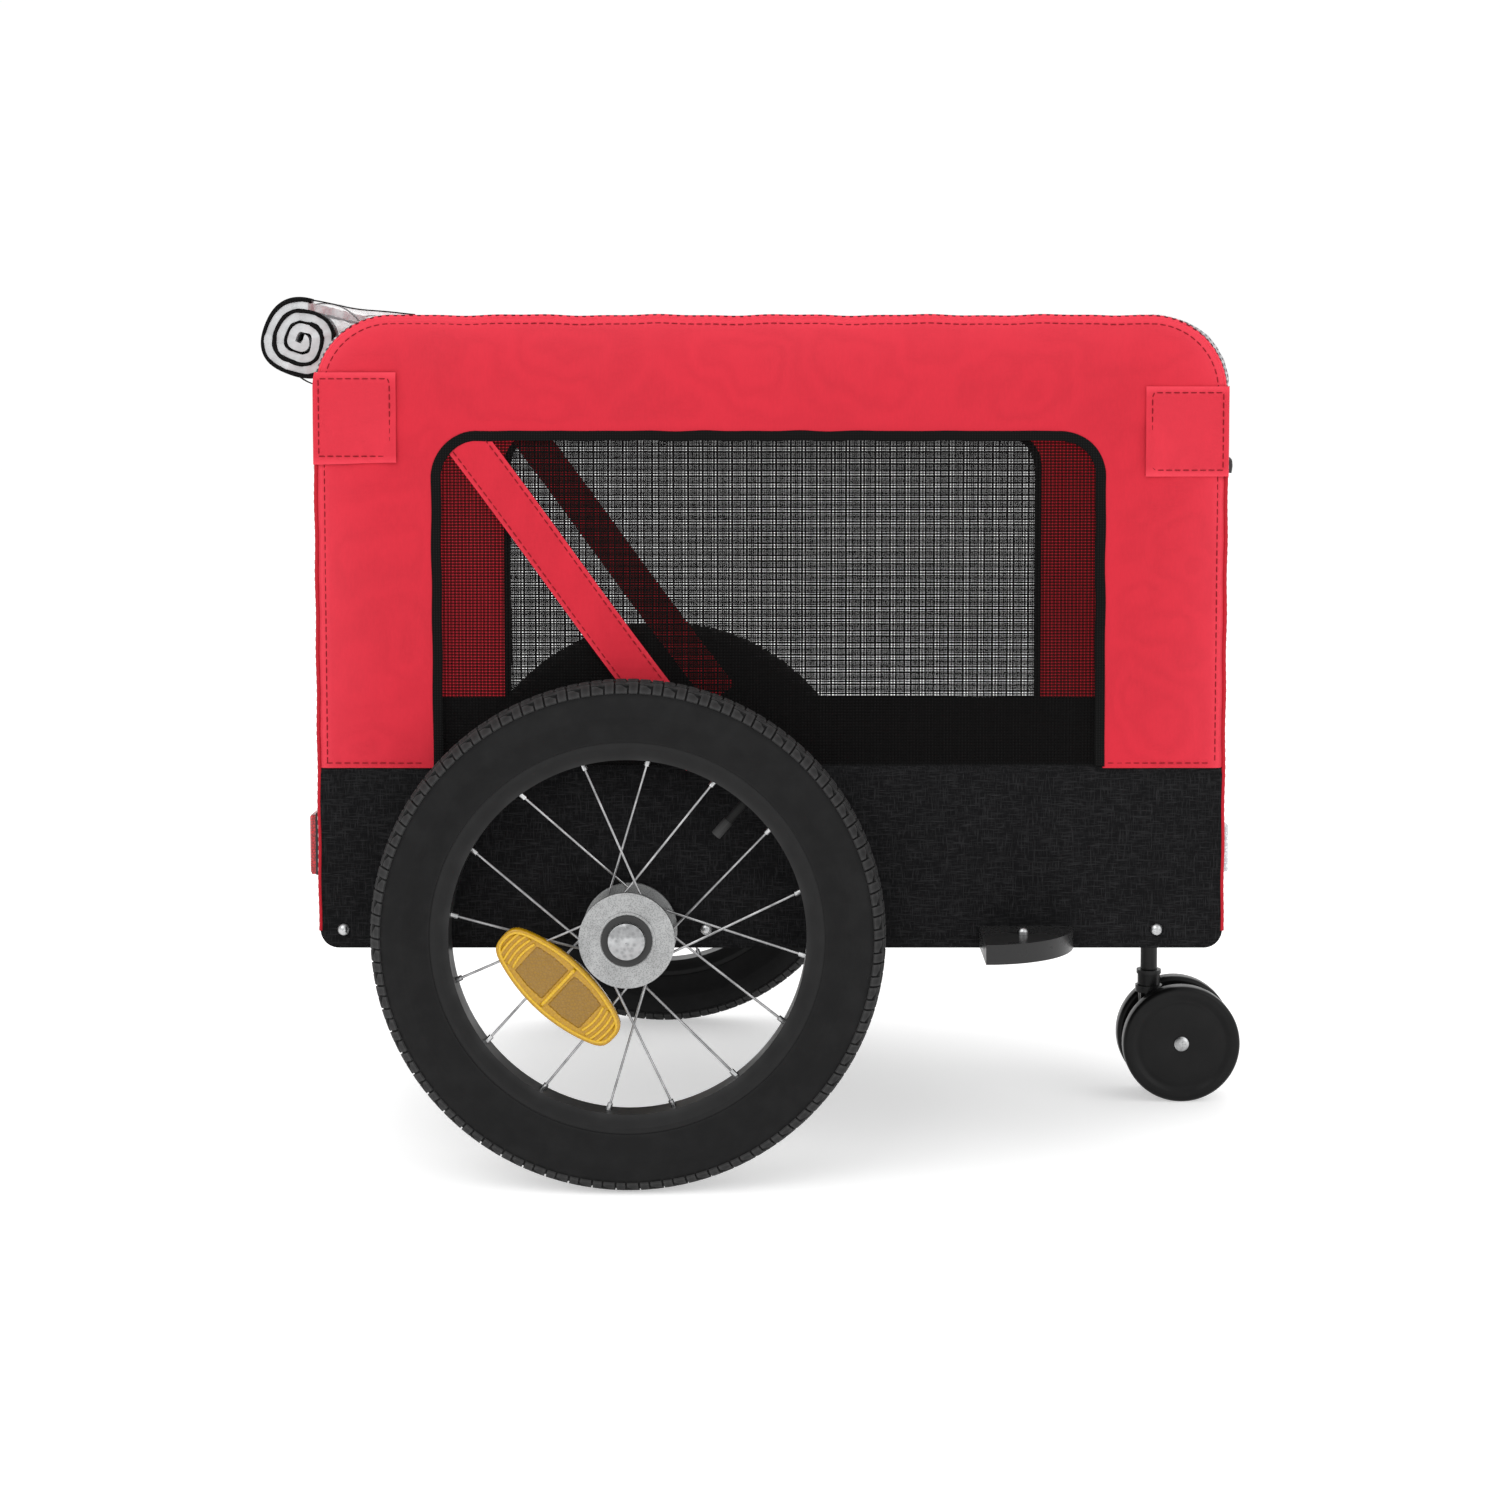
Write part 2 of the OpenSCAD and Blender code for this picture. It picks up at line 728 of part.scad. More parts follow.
module lower_panel() {
    difference() {
        wall_xz(inner_y, body_y) intersection() {
            cabin_outline(0);
            translate([-body_x, body_bottom]) square([body_l, seam_z - body_bottom]);
        }
        for (x = cross_xs) translate([x, 0, bolt_z])
            rod_y(inner_y - eps, body_y + eps, bolt_d / 2 + 0.3);
        translate([axle_x, 0, axle_z]) rod_y(inner_y - eps, body_y + eps, receiver_r + 0.5);
    }
}

module lower_panels() {
    color(BLACK) {
        lower_panel();
        on_side(false) difference() {
            lower_panel();
            block(lug_x - 0.5, lug_x + lug_r + 0.5, inner_y - eps, body_y + eps,
                  lug_top - lug_h - 0.5, lug_top + 0.5);
        }
    }
}

module window_meshes() {
    color("dimgray") {
        both_sides() wall_xz(inner_y + 0.2, inner_y + 1.3) window_outline(0);
        wall_yz(body_x - 1.5, body_x - 0.4) door_outline(0);
    }
}

module window_bindings() {
    color(BLACK) both_sides() wall_xz(inner_y + 1.4, body_y + 1) difference() {
        window_outline(0);
        window_outline(binding_w);
        translate([window_rear_x + binding_w, seam_z - 1])
            square([window_front_x - window_rear_x - 2 * binding_w, 2]);
    }
}

// the strap runs down and forwards from the window's upper rear corner
module window_straps() {
    top_x = window_rear_x + 4;
    run_x = 194;
    rise = window_top_z - 5 - seam_z;
    across = strap_w * norm([run_x, rise]) / rise;
    color(RED) both_sides() wall_xz(inner_y + 1.4, body_y + 0.6) intersection() {
        window_outline(binding_w + 0.1);
        polygon([[top_x, seam_z + rise], [top_x + across, seam_z + rise],
                 [top_x + run_x + across, seam_z], [top_x + run_x, seam_z]]);
    }
}

// the doorway of an end cloth seen from the end, moved out by a distance
module door_outline(lap) {
    round_rect(-door_y - lap, door_y + lap, door_low - lap, door_high + lap,
               door_r + lap, door_r + lap);
}

module end_outline() {
    difference() {
        translate([-inner_y, foot_z]) square([2 * inner_y, shoulder_z - foot_z]);
        door_outline(0);
    }
}

module front_panel() {
    color(RED) wall_yz(body_x - cloth_t, body_x) end_outline();
}

module rear_panel() {
    color(RED) wall_yz(-body_x, -body_x + cloth_t) end_outline();
}

// the clear front cover, which hangs from its upper edge over the front mesh
module front_flap() {
    half = door_y + flap_lap;
    color(FILM) wall_yz(body_x + film_gap, body_x + film_gap + film_t) {
        door_outline(flap_lap);
        translate([-half, door_high - door_r])
            square([2 * half, shoulder_z - 1 - door_high + door_r]);
    }
}

// the fixed stretch of that cover, from its seam on the roof round the front corner
module front_cover_band() {
    color(FILM) wall_xz(-body_y, body_y) difference() {
        intersection() {
            cabin_outline(-film_gap - film_t);
            translate([film_seam_x, shoulder_z]) square([corner_r + 20, corner_r + 10]);
        }
        cabin_outline(-film_gap);
    }
}

module zipper_slider() {
    color(BLACK) on_side(false) {
        block(body_x + film_gap, body_x + 3.2, slider_y - 5, slider_y + 5, slider_z - 7, slider_z + 7);
        block(body_x + 3.1, body_x + 9, slider_y - 2, slider_y + 2, slider_z - 2, slider_z + 2);
    }
}

module corner_tabs() {
    color(RED) both_sides() {
        block(front_tab_x, body_x, body_y, body_y + tab_t, front_tab_low, front_tab_low + tab_h);
        block(-body_x, rear_tab_x, body_y, body_y + tab_t, rear_tab_low, rear_tab_low + tab_h);
    }
}

module rolled_cover() {
    seam_x = -body_x + corner_r + 14;
    color(FILM) wall_xz(-body_y + roll_inset, body_y - roll_inset) union() {
        difference() {
            translate([roll_x, roll_z]) circle(roll_d / 2);
            cabin_outline(-0.5);
        }
        polygon([[roll_x + 8, roll_z + roll_d / 2 - 5], [roll_x + 3, roll_z + roll_d / 2 - 0.4],
                 [seam_x, body_top + 1.3], [seam_x, body_top + 0.1],
                 [seam_x - 12, body_top + 0.1]]);
    }
}

module cover_ties() {
    foot = [-body_x - 0.9, 0, tie_foot_z];
    head = [roll_x + 3, 0, roll_z - roll_d / 2 - 1.8];
    color(BLACK) for (y = tie_ys) translate([0, y, 0])
        rod_between(foot, head, 0, norm(head - foot), tie_r);
}

// ---------- reflectors on the cabin ----------

// a reflector's outline seen from the end, smaller than its housing by a distance
module lamp_outline(z, h, inset) {
    round_rect(lamp_y - 20 + inset, lamp_y + 20 - inset, z - h / 2 + inset, z + h / 2 - inset,
               lamp_r, lamp_r);
}

module reflector_housings() {
    color(BLACK) both_sides() {
        wall_yz(-body_x - 4, -body_x) lamp_outline(rear_lamp_z, 50, 0);
        wall_yz(body_x, body_x + 2) lamp_outline(front_lamp_z, 40, 0);
    }
}

module rear_lenses() {
    color(RED) both_sides() wall_yz(-body_x - 9, -body_x - 4) lamp_outline(rear_lamp_z, 50, 1);
}

module front_lenses() {
    color("white") both_sides() wall_yz(body_x + 2, body_x + 6) lamp_outline(front_lamp_z, 40, 1);
}

base_rail(false);  // base_rail_right
base_rail(true);  // base_rail_left
cross_tubes();
frame_bolts();
hoop(false);  // hoop_right
hoop(true);  // hoop_left
spreader_bars();
spreader_clips();
axle_receivers();
castor_bracket();
hitch_lug();
hitch_pin();
floor_board();
wheel_axles();
release_button(false);  // release_button_right
release_button(true);  // release_button_left
tyre(false);  // tyre_right
inner_tube(false);  // inner_tube_right
rim(false);  // rim_right
spokes(false);  // spokes_right
nipples(false);  // nipples_right
hub(false);  // hub_right
bearings(false);  // bearings_right
dust_cap(false);  // dust_cap_right
valve(false);  // valve_right
spoke_reflector(false);  // reflector_right
tyre(true);  // tyre_left
inner_tube(true);  // inner_tube_left
rim(true);  // rim_left
spokes(true);  // spokes_left
nipples(true);  // nipples_left
hub(true);  // hub_left
bearings(true);  // bearings_left
dust_cap(true);  // dust_cap_left
valve(true);  // valve_left
spoke_reflector(true);  // reflector_left
castor_stem();
castor_fork();
castor_axle_bolt();
castor_wheel(false);  // castor_wheel_right
castor_wheel(true);  // castor_wheel_left
roof_panel();
side_panel(false);  // side_panel_right
side_panel(true);  // side_panel_left
lower_panels();
window_meshes();
window_bindings();
window_straps();
front_panel();
rear_panel();
corner_tabs();
belly_panel();
front_flap();
front_cover_band();
zipper_slider();
rolled_cover();
cover_ties();
reflector_housings();
rear_lenses();
front_lenses();
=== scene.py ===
"""The look of a small fabric-cabin bicycle trailer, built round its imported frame.

Metres, in the frame's own axes: +X is the way it travels, +Z is up, the right side is -Y.
The cloth, film, nets, tyres and reflectors are made here; the metal and plastic parts are the
frame's own, with a material each. Cloth pieces are grids of points with a Solidify modifier.
"""

import math

import bmesh
import bpy
import numpy as np
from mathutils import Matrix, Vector


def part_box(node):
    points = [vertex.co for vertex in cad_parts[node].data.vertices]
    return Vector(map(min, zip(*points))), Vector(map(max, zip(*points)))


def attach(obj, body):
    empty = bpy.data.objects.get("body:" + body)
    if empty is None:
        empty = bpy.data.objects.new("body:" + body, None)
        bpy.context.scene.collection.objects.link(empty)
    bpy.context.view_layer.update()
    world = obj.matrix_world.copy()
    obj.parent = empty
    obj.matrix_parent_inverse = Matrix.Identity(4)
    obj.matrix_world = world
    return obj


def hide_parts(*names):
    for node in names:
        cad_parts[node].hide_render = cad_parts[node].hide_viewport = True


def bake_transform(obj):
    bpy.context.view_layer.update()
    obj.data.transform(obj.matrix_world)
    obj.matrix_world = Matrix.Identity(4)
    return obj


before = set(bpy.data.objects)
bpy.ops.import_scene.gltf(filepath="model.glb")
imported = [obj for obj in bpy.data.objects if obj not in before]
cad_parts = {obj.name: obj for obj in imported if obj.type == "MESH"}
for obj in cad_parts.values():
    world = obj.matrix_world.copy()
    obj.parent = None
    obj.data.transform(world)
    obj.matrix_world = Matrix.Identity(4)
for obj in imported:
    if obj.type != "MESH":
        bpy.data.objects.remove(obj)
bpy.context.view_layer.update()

MM = 0.001
SIDES = {"right": -1, "left": 1}
ENDS = {"front": 1, "rear": -1}

# ---------- sizes and places ----------

ROOF_LOW, ROOF_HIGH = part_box("roof_panel")
HALF_L = ROOF_HIGH.x
TOP = ROOF_HIGH.z
SHOULDER = ROOF_LOW.z
CORNER_R = TOP - SHOULDER
SIDE_LOW, SIDE_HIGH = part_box("side_panel_left")
HALF_W = SIDE_HIGH.y
SEAM = SIDE_LOW.z
INNER_W = ROOF_HIGH.y
BELLY_LOW, BELLY_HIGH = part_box("belly_panel")
BOTTOM = BELLY_LOW.z
FOOT_R = BELLY_HIGH.z - BOTTOM
SPREADER_X = 270 * MM
CLOTH = 1.4 * MM
FILM = 0.5 * MM
EDGE_BAND = 10 * MM
TUCK = 2.6 * MM
WINDOW_LOW, WINDOW_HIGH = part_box("window_bindings")
WINDOW_R = 36 * MM
BINDING = 8 * MM
STRAP_W = 33 * MM
STRAP_RUN = 194 * MM
FLAP_LOW, FLAP_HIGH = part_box("front_flap")
FLAP_R = 36 * MM
DOOR_Y = FLAP_HIGH.y - 6 * MM
DOOR_LOW = FLAP_LOW.z + 6 * MM
DOOR_HIGH = 587 * MM
DOOR_R = 30 * MM
TAB_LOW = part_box("corner_tabs")[0].z
TAB_W = 64 * MM
TAB_H = 71 * MM
TAB_REACH = 26 * MM
TAB_STAND = 1.6 * MM
REAR_TAB_RISE = 11 * MM
BAND_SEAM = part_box("front_cover_band")[0].x
TYRE_LOW, TYRE_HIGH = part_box("tyre_left")
AXLE = (TYRE_LOW + TYRE_HIGH) / 2
TYRE_R = TYRE_HIGH.z - AXLE.z
CASING_R = TYRE_HIGH.y - AXLE.y
CASING_C = TYRE_R - CASING_R
RIM_LOW, RIM_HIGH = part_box("rim_left")
RIM_R = (RIM_HIGH.z - RIM_LOW.z) / 2
TREAD = 1.7 * MM
TREAD_PAIRS = 66
ROLL_LOW, ROLL_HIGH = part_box("rolled_cover")
ROLL_R = 34.5 * MM
ROLL_C = np.array([ROLL_LOW.x + ROLL_R, 670 * MM])
ROLL_START = math.radians(78)
ROLL_PITCH = 9 * MM
ROLL_TURNS = 2.9
TAPE_TURNS = (1.95, 2.5)


# ---------- outlines: points [n, 2] ----------

def turns(n):
    """n angles all the way round."""
    return np.linspace(0, 2 * math.pi, n, endpoint=False)


def polar(centre, r, a):
    """Points round a centre at radius r, for angles in radians."""
    return np.stack([centre[0] + r * np.cos(a), centre[1] + r * np.sin(a)], -1)


def line(p, q, n):
    """n points from p towards q, without q."""
    t = np.linspace(0, 1, n, endpoint=False)[:, None]
    return np.asarray(p, float) * (1 - t) + np.asarray(q, float) * t


def rounded(corners, r, steps, bend):
    """A path with its right corners rounded: steps are the points on each run, bend those in a corner."""
    corners = np.asarray(corners, float)
    runs = np.diff(corners, axis=0)
    runs /= np.linalg.norm(runs, axis=1)[:, None]
    turn = np.linspace(0, math.pi / 2, bend, endpoint=False)[:, None]
    start, rows = corners[0], []
    for corner, ahead, after, n in zip(corners[1:], runs, runs[1:], steps):
        stop = corner - r * ahead
        rows.append(line(start, stop, n))
        rows.append(stop + r * after * (1 - np.cos(turn)) + r * ahead * np.sin(turn))
        start = corner + r * after
    return np.vstack([*rows, line(start, corners[-1], steps[-1]), corners[-1:]])


def arch(x0, x1, low, top, r, leg=60, run=260):
    """Up one side, over the top and down the other."""
    return rounded([(x0, low), (x0, top), (x1, top), (x1, low)], r, (leg, run, leg), 24)


def ring(half, low, top, r, run=60, bend=12, leg=60):
    """A closed rounded rectangle about the middle, starting at its lower left."""
    start = (r - half, low)
    corners = [start, (half, low), (half, top), (-half, top), (-half, low), start]
    return rounded(corners, r, (run, leg, run, leg, 0), bend)[:-1]


def hanging_u(half, low, top, r, run=60, bend=14, leg=70):
    """Down one side, along the bottom and up the other."""
    return rounded([(-half, top), (-half, low), (half, low), (half, top)], r, (leg, run, leg), bend)


def distances(points):
    """How far along a path each of its points lies."""
    return np.r_[0, np.cumsum(np.linalg.norm(np.diff(points, axis=0), axis=1))]


def path_length(points):
    return float(distances(points)[-1])


def spaced(points, step):
    """The same path with its points a step apart."""
    length = distances(points)
    at = np.linspace(0, length[-1], max(2, round(length[-1] / step) + 1))
    return np.stack([np.interp(at, length, column) for column in points.T], 1)


def space(x, y, z):
    """Points [..., 3] from coordinates whose shapes go together."""
    return np.stack(np.broadcast_arrays(x, y, z), -1)


def on_side(outline, y):
    """An [x, z] outline standing in the plane of a side."""
    return space(outline[..., 0], y, outline[..., 1])


def on_end(outline, x):
    """A [y, z] outline standing in the plane of an end."""
    return space(x, outline[..., 0], outline[..., 1])


def loft(outer, inner, steps):
    """Rows between two outlines of equal count, at the given shares of the way."""
    t = np.asarray(steps, float)[None, :, None]
    return outer[:, None] * (1 - t) + inner[:, None] * t


def apart(points, column):
    """How far each point of a grid is from the one in its row at a column."""
    return np.linalg.norm(points - points[:, column][:, None], axis=-1)


def waves(u, v, size, seed):
    """Smooth bumps of about one unit up and down, about size across."""
    random = np.random.default_rng(seed)
    total = 0.0
    for _ in range(6):
        turn, phase = random.uniform(0, 2 * math.pi, 2)
        rate = 2 * math.pi * random.uniform(0.6, 1.4) / size
        total = total + np.sin(rate * (u * math.cos(turn) + v * math.sin(turn)) + phase)
    return total / 3


def fade(x, start, end):
    """0 before start, 1 after end, smooth between."""
    t = np.clip((x - start) / (end - start), 0, 1)
    return t * t * (3 - 2 * t)


def edge_wear_and_light(inset, narrow):
    """How much painted highlight the cloth gets near a sewn edge, where it rolls away towards the light: a
    narrow band and a wide soft one.
    """
    return narrow * np.clip(1.15 - inset / EDGE_BAND, 0, 1) + 0.42 * np.exp(-inset / (28 * MM))


# ---------- meshes ----------

def quads(n, m, wrap_u=False, wrap_v=False):
    index = np.arange(n * m).reshape(n, m)
    if wrap_u:
        index = np.vstack([index, index[:1]])
    if wrap_v:
        index = np.hstack([index, index[:, :1]])
    corners = [index[:-1, :-1], index[1:, :-1], index[1:, 1:], index[:-1, 1:]]
    return np.stack(corners, -1).reshape(-1, 4)


def tube_faces(n, m, count=1, first=0):
    """Faces of count capped tubes, each of n rings of m points."""
    one = quads(n, m, wrap_v=True).tolist() + [list(range(m))[::-1], list(range(n * m - m, n * m))]
    return [[first + k * n * m + i for i in face] for k in range(count) for face in one]


def skirted(n, m):
    """The rim of a grid, and the faces of the grid, a skirt down to a copy of the rim, and its base."""
    index = np.arange(n * m).reshape(n, m)
    rim = np.r_[index[:, 0], index[-1, 1:], index[-2::-1, -1], index[0, -2:0:-1]]
    base = n * m + np.arange(len(rim))
    skirt = np.stack([rim, base, np.roll(base, -1), np.roll(rim, -1)], 1)
    return rim, quads(n, m).tolist() + skirt.tolist() + [base.tolist()]


def add_mesh(name, verts, faces, material, smooth=True):
    mesh = bpy.data.meshes.new(name)
    mesh.from_pydata(np.asarray(verts, float).reshape(-1, 3).tolist(), [], [list(map(int, f)) for f in faces])
    mesh.polygons.foreach_set("use_smooth", [smooth] * len(mesh.polygons))
    mesh.materials.append(material)
    obj = bpy.data.objects.new(name, mesh)
    bpy.context.scene.collection.objects.link(obj)
    return obj


def edited(obj, change):
    mesh = bmesh.new()
    mesh.from_mesh(obj.data)
    change(mesh)
    mesh.to_mesh(obj.data)
    mesh.free()
    return obj


def solid(name, verts, faces, material, smooth=True):
    """A closed mesh with its faces turned outwards."""
    return edited(add_mesh(name, verts, faces, material, smooth),
                  lambda mesh: bmesh.ops.recalc_face_normals(mesh, faces=mesh.faces))


def sharpen_rim(mesh):
    for edge in mesh.edges:
        edge.smooth = not edge.is_boundary


def thicken(obj, thick):
    modifier = obj.modifiers.new("thickness", "SOLIDIFY")
    modifier.thickness = thick
    return modifier


def sheet(name, points, material, thick=CLOTH, wrap=False, edge=None, lining=None):
    """A grid of points [n, m, 3] with a thickness; edge is a share for each point of the painted edge
    highlight, 1 at its brightest.

    A lining is the material of the side that faces the middle of the cabin."""
    n, m = points.shape[:2]
    faces = quads(n, m, wrap)
    flat = points.reshape(-1, 3)
    normals = np.cross(flat[faces[:, 1]] - flat[faces[:, 0]], flat[faces[:, 3]] - flat[faces[:, 0]])
    if np.sum(normals * (flat[faces[:, 0]] - [0, 0, 0.45])) < 0:
        faces = faces[:, ::-1]
    obj = add_mesh(name, points, faces, material)
    if edge is not None:
        share = obj.data.attributes.new("edge", "FLOAT", "POINT")
        share.data.foreach_set("value", np.broadcast_to(edge, (n, m)).astype(np.float32).ravel())
    edited(obj, sharpen_rim)
    modifier = thicken(obj, thick)
    modifier.offset = 0
    if lining:
        obj.data.materials.append(lining)
        modifier.material_offset = 1
    return obj


def place(obj, body, slot, *nodes):
    """Hides the CAD nodes it stands for, and sets it on its body; slot is not used."""
    if nodes:
        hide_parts(*nodes)
    if body:
        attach(obj, body)
    return obj


def soft(obj, slot, node_name, body="chassis"):
    """Places a sheet: hides the CAD node it was cut from, and sets it on the body that holds it."""
    place(obj, body, slot, node_name)
    return obj


def round_profile(r):
    return polar((0, 0), r, turns(8))


def tape_profile(width, thick):
    """A flat band with rounded edges."""
    w, t = width / 2, thick / 2
    return np.array([(-w, -t / 2), (-w + t, -t), (0, -t), (w - t, -t), (w, -t / 2),
                     (w, t / 2), (w - t, t), (0, t), (-w + t, t), (-w, t / 2)])


def sweep(name, points, profile, up, material, closed=False, ribs=1.0):
    """A profile of [sideways, upwards] points carried along a path; ribs scales each ring's height."""
    ahead = np.roll(points, -1, 0) - np.roll(points, 1, 0)
    if not closed:
        ahead[0] = points[1] - points[0]
        ahead[-1] = points[-1] - points[-2]
    ahead /= np.linalg.norm(ahead, axis=1)[:, None]
    side = np.cross(ahead, np.broadcast_to(up, points.shape))
    side /= np.linalg.norm(side, axis=1)[:, None]
    lift = np.cross(side, ahead) * np.broadcast_to(ribs, len(points))[:, None]
    rings = points[:, None] + side[:, None] * profile[None, :, :1] + lift[:, None] * profile[None, :, 1:]
    n, m = rings.shape[:2]
    return solid(name, rings, quads(n, m, True, True) if closed else tube_faces(n, m), material)


def lathe(name, profile, centre, material, segments=128):
    """A closed profile of [radius, y] points turned about the Y axis through a centre."""
    a = turns(segments)[:, None]
    r, y = profile[None, :, 0], profile[None, :, 1]
    verts = space(centre[0] + r * np.cos(a), centre[1] + y, centre[2] + r * np.sin(a))
    return solid(name, verts, quads(segments, len(profile), True, True), material)


STITCH_STATIONS = ((0, 0.5), (0.15, 1), (0.85, 1), (1, 0.5))
STITCH_SIDES = 6


def stitches(name, paths, material, length=4.6 * MM, gap=1.9 * MM, radius=0.42 * MM):
    """Rows of thread dashes. Each path is (points, outward direction)."""
    starts, ends, outs = [], [], []
    for points, out in paths:
        fine = spaced(points, 0.8 * MM)
        count = int(path_length(fine) / (length + gap))
        reach = np.linspace(0, len(fine) - 1, count, endpoint=False)
        share = length / (length + gap) * (len(fine) - 1) / max(count, 1)
        for found, at in ((starts, reach), (ends, reach + share)):
            low = np.clip(at.astype(int), 0, len(fine) - 2)
            found.append(fine[low] + (fine[low + 1] - fine[low]) * (at - low)[:, None])
        outs.append(np.broadcast_to(np.asarray(out, float), (count, 3)))
    p, q, out = np.vstack(starts), np.vstack(ends), np.vstack(outs)
    side = np.cross(q - p, out)
    side /= np.linalg.norm(side, axis=1)[:, None]
    round_dash = polar((0, 0), 1, turns(STITCH_SIDES))[None]
    rings = []
    for along, size in STITCH_STATIONS:
        middle = (p + (q - p) * along + out * radius * 0.3 * (size - 0.5))[:, None]
        rings.append(middle + radius * size * (side[:, None] * round_dash[..., :1]
                                               + 0.8 * out[:, None] * round_dash[..., 1:]))
    return add_mesh(name, np.stack(rings, 1), tube_faces(len(rings), STITCH_SIDES, len(p)), material)


# ---------- materials ----------

def connect(tree, made, inputs):
    """Gives a node's inputs their values, or links them to other nodes' outputs."""
    for key, value in inputs.items():
        if isinstance(value, bpy.types.NodeSocket):
            tree.links.new(value, made.inputs[key])
        else:
            made.inputs[key].default_value = value
    return made


def feed(material, **inputs):
    """Values or outputs for the shader's inputs, named with _ for a space."""
    tree = material.node_tree
    named = {key.replace("_", " "): value for key, value in inputs.items()}
    connect(tree, tree.nodes["Principled BSDF"], named)


def new_material(name, color, roughness, metallic=0.0, specular=0.5):
    material = bpy.data.materials.new(name)
    material.use_nodes = True
    feed(material, Base_Color=(*color, 1), Roughness=roughness, Metallic=metallic,
         Specular_IOR_Level=specular)
    material.diffuse_color = (*color, 1)
    return material


def node(tree, kind, inputs, output=0, **settings):
    """The output of a new shader node."""
    made = tree.nodes.new("ShaderNode" + kind)
    for key, value in settings.items():
        setattr(made, key, value)
    return connect(tree, made, inputs).outputs[output]


def place_of(material, stretch=(1, 1, 1)):
    tree = material.node_tree
    return node(tree, "Mapping", {"Vector": node(tree, "TexCoord", {}, "Object"), "Scale": stretch})


def grain(material, scale, stretch=(1, 1, 1), detail=3.0, rough=0.55):
    inputs = {"Vector": place_of(material, stretch), "Scale": scale, "Detail": detail, "Roughness": rough}
    return node(material.node_tree, "TexNoise", inputs, "Fac")


def cells(material, scale, feature="F1"):
    inputs = {"Vector": place_of(material), "Scale": scale}
    return node(material.node_tree, "TexVoronoi", inputs, "Distance", feature=feature)


def band(material, pitch, direction):
    """Sine ridges a pitch apart along one axis."""
    inputs = {"Vector": place_of(material), "Scale": math.pi / 10 / pitch, "Distortion": 0.0}
    return node(material.node_tree, "TexWave", inputs, "Fac", wave_type="BANDS", bands_direction=direction)


def both(a, operation, b):
    """Two values put together by a Math node."""
    return node(a.id_data, "Math", {0: a, 1: b}, operation=operation)


def span(value, low, high, to_low=0.0, to_high=1.0):
    """A value's range from low to high stretched to another range."""
    inputs = {"Value": value, "From Min": low, "From Max": high, "To Min": to_low, "To Max": to_high}
    return node(value.id_data, "MapRange", inputs)


def shade(color, factor):
    return tuple(min(1, c * factor) for c in color)


def mix(factor, first, second):
    """From the first colour to the second as the factor rises."""
    colors = {}
    for key, value in (("Color1", first), ("Color2", second)):
        colors[key] = value if isinstance(value, bpy.types.NodeSocket) else (*value, 1)
    return node(factor.id_data, "MixRGB", {"Fac": factor, **colors})


def bump(material, height, depth, strength=1.0):
    inputs = {"Height": height, "Distance": depth, "Strength": strength}
    feed(material, Normal=node(height.id_data, "Bump", inputs))


def weave(material, pitch):
    """Height of a plain weave that shows on every face, whichever way it lies."""
    across = both(band(material, pitch, "X"), "MULTIPLY", band(material, pitch, "Z"))
    along = both(band(material, pitch, "Y"), "MULTIPLY", band(material, pitch, "Z"))
    return both(across, "ADD", along)


def red_fabric(name, color, edge_highlight_color, glow=None):
    """Coated polyester: a fine weave, faint creases, and a painted highlight along its sewn edges, where the
    cloth rolls away towards the light.

    glow is painted light: an emission on the inner face that stands in for the light coming through the
    cloth."""
    material = new_material(name, color, 0.7, specular=0.12)
    blotch = span(grain(material, 9, detail=4), 0.35, 0.65)
    thread = span(grain(material, 700, (1, 1, 0.25), detail=1), 0.3, 0.7, 0, 0.35)
    body_color = mix(thread, mix(blotch, shade(color, 0.93), color), shade(color, 1.08))
    # The edge attribute mixes in the painted highlight of the sewn edges.
    edge = node(material.node_tree, "Attribute", {}, "Fac", attribute_name="edge")
    feed(material, Base_Color=mix(edge, body_color, edge_highlight_color), Roughness=span(blotch, 0, 1, 0.58, 0.7))
    creases = both(grain(material, 22, detail=3), "MULTIPLY", 2.5)
    bump(material, both(weave(material, 0.9 * MM), "ADD", creases), 0.25 * MM, 0.55)
    # Painted light: the inner face glows by emission.
    if glow:
        feed(material, Emission_Color=mix(blotch, shade(glow, 0.8), glow), Emission_Strength=1.0)
    return material


def linen(name, dark, light):
    """Black slub cloth: pale threads of uneven length both ways over a dark weave."""
    material = new_material(name, dark, 0.9, specular=0.06)
    flat = grain(material, 1, (110, 110, 1300), detail=3)
    tall = grain(material, 1, (1300, 1300, 110), detail=3)
    slub = span(both(flat, "MAXIMUM", tall), 0.50, 0.78)
    feed(material, Base_Color=mix(slub, dark, light))
    bump(material, both(weave(material, 1.1 * MM), "ADD", slub), 0.3 * MM, 0.6)
    return material


def ribbed(name, color, light, pitch):
    """Woven tape with ribs."""
    material = new_material(name, color, 0.8, specular=0.06)
    ribs = both(band(material, pitch, "X"), "MULTIPLY", band(material, pitch, "Z"))
    feed(material, Base_Color=mix(span(ribs, 0.2, 0.9), color, light))
    bump(material, ribs, 0.3 * MM, 0.7)
    return material


def moulded(name, color, roughness, specular=0.4, speck=0.3, edge_wear_and_light=0.04):
    """Plastic or rubber: fine grain, dust specks all over, edges rubbed a little paler."""
    material = new_material(name, color, roughness, specular=specular)
    dust = span(grain(material, 60, detail=6), 0.42, 0.75, 0, speck)
    rubbed = span(node(material.node_tree, "NewGeometry", {}, "Pointiness"), 0.52, 0.62, 0, 0.8)
    base = mix(dust, color, tuple(c + 0.02 for c in color))
    smear = span(grain(material, 25, detail=4), 0.3, 0.7, roughness - 0.05, roughness + 0.08)
    feed(material, Base_Color=mix(rubbed, base, tuple(c + edge_wear_and_light for c in color)), Roughness=smear)
    bump(material, grain(material, 900, detail=2), 0.06 * MM, 0.5)
    return material


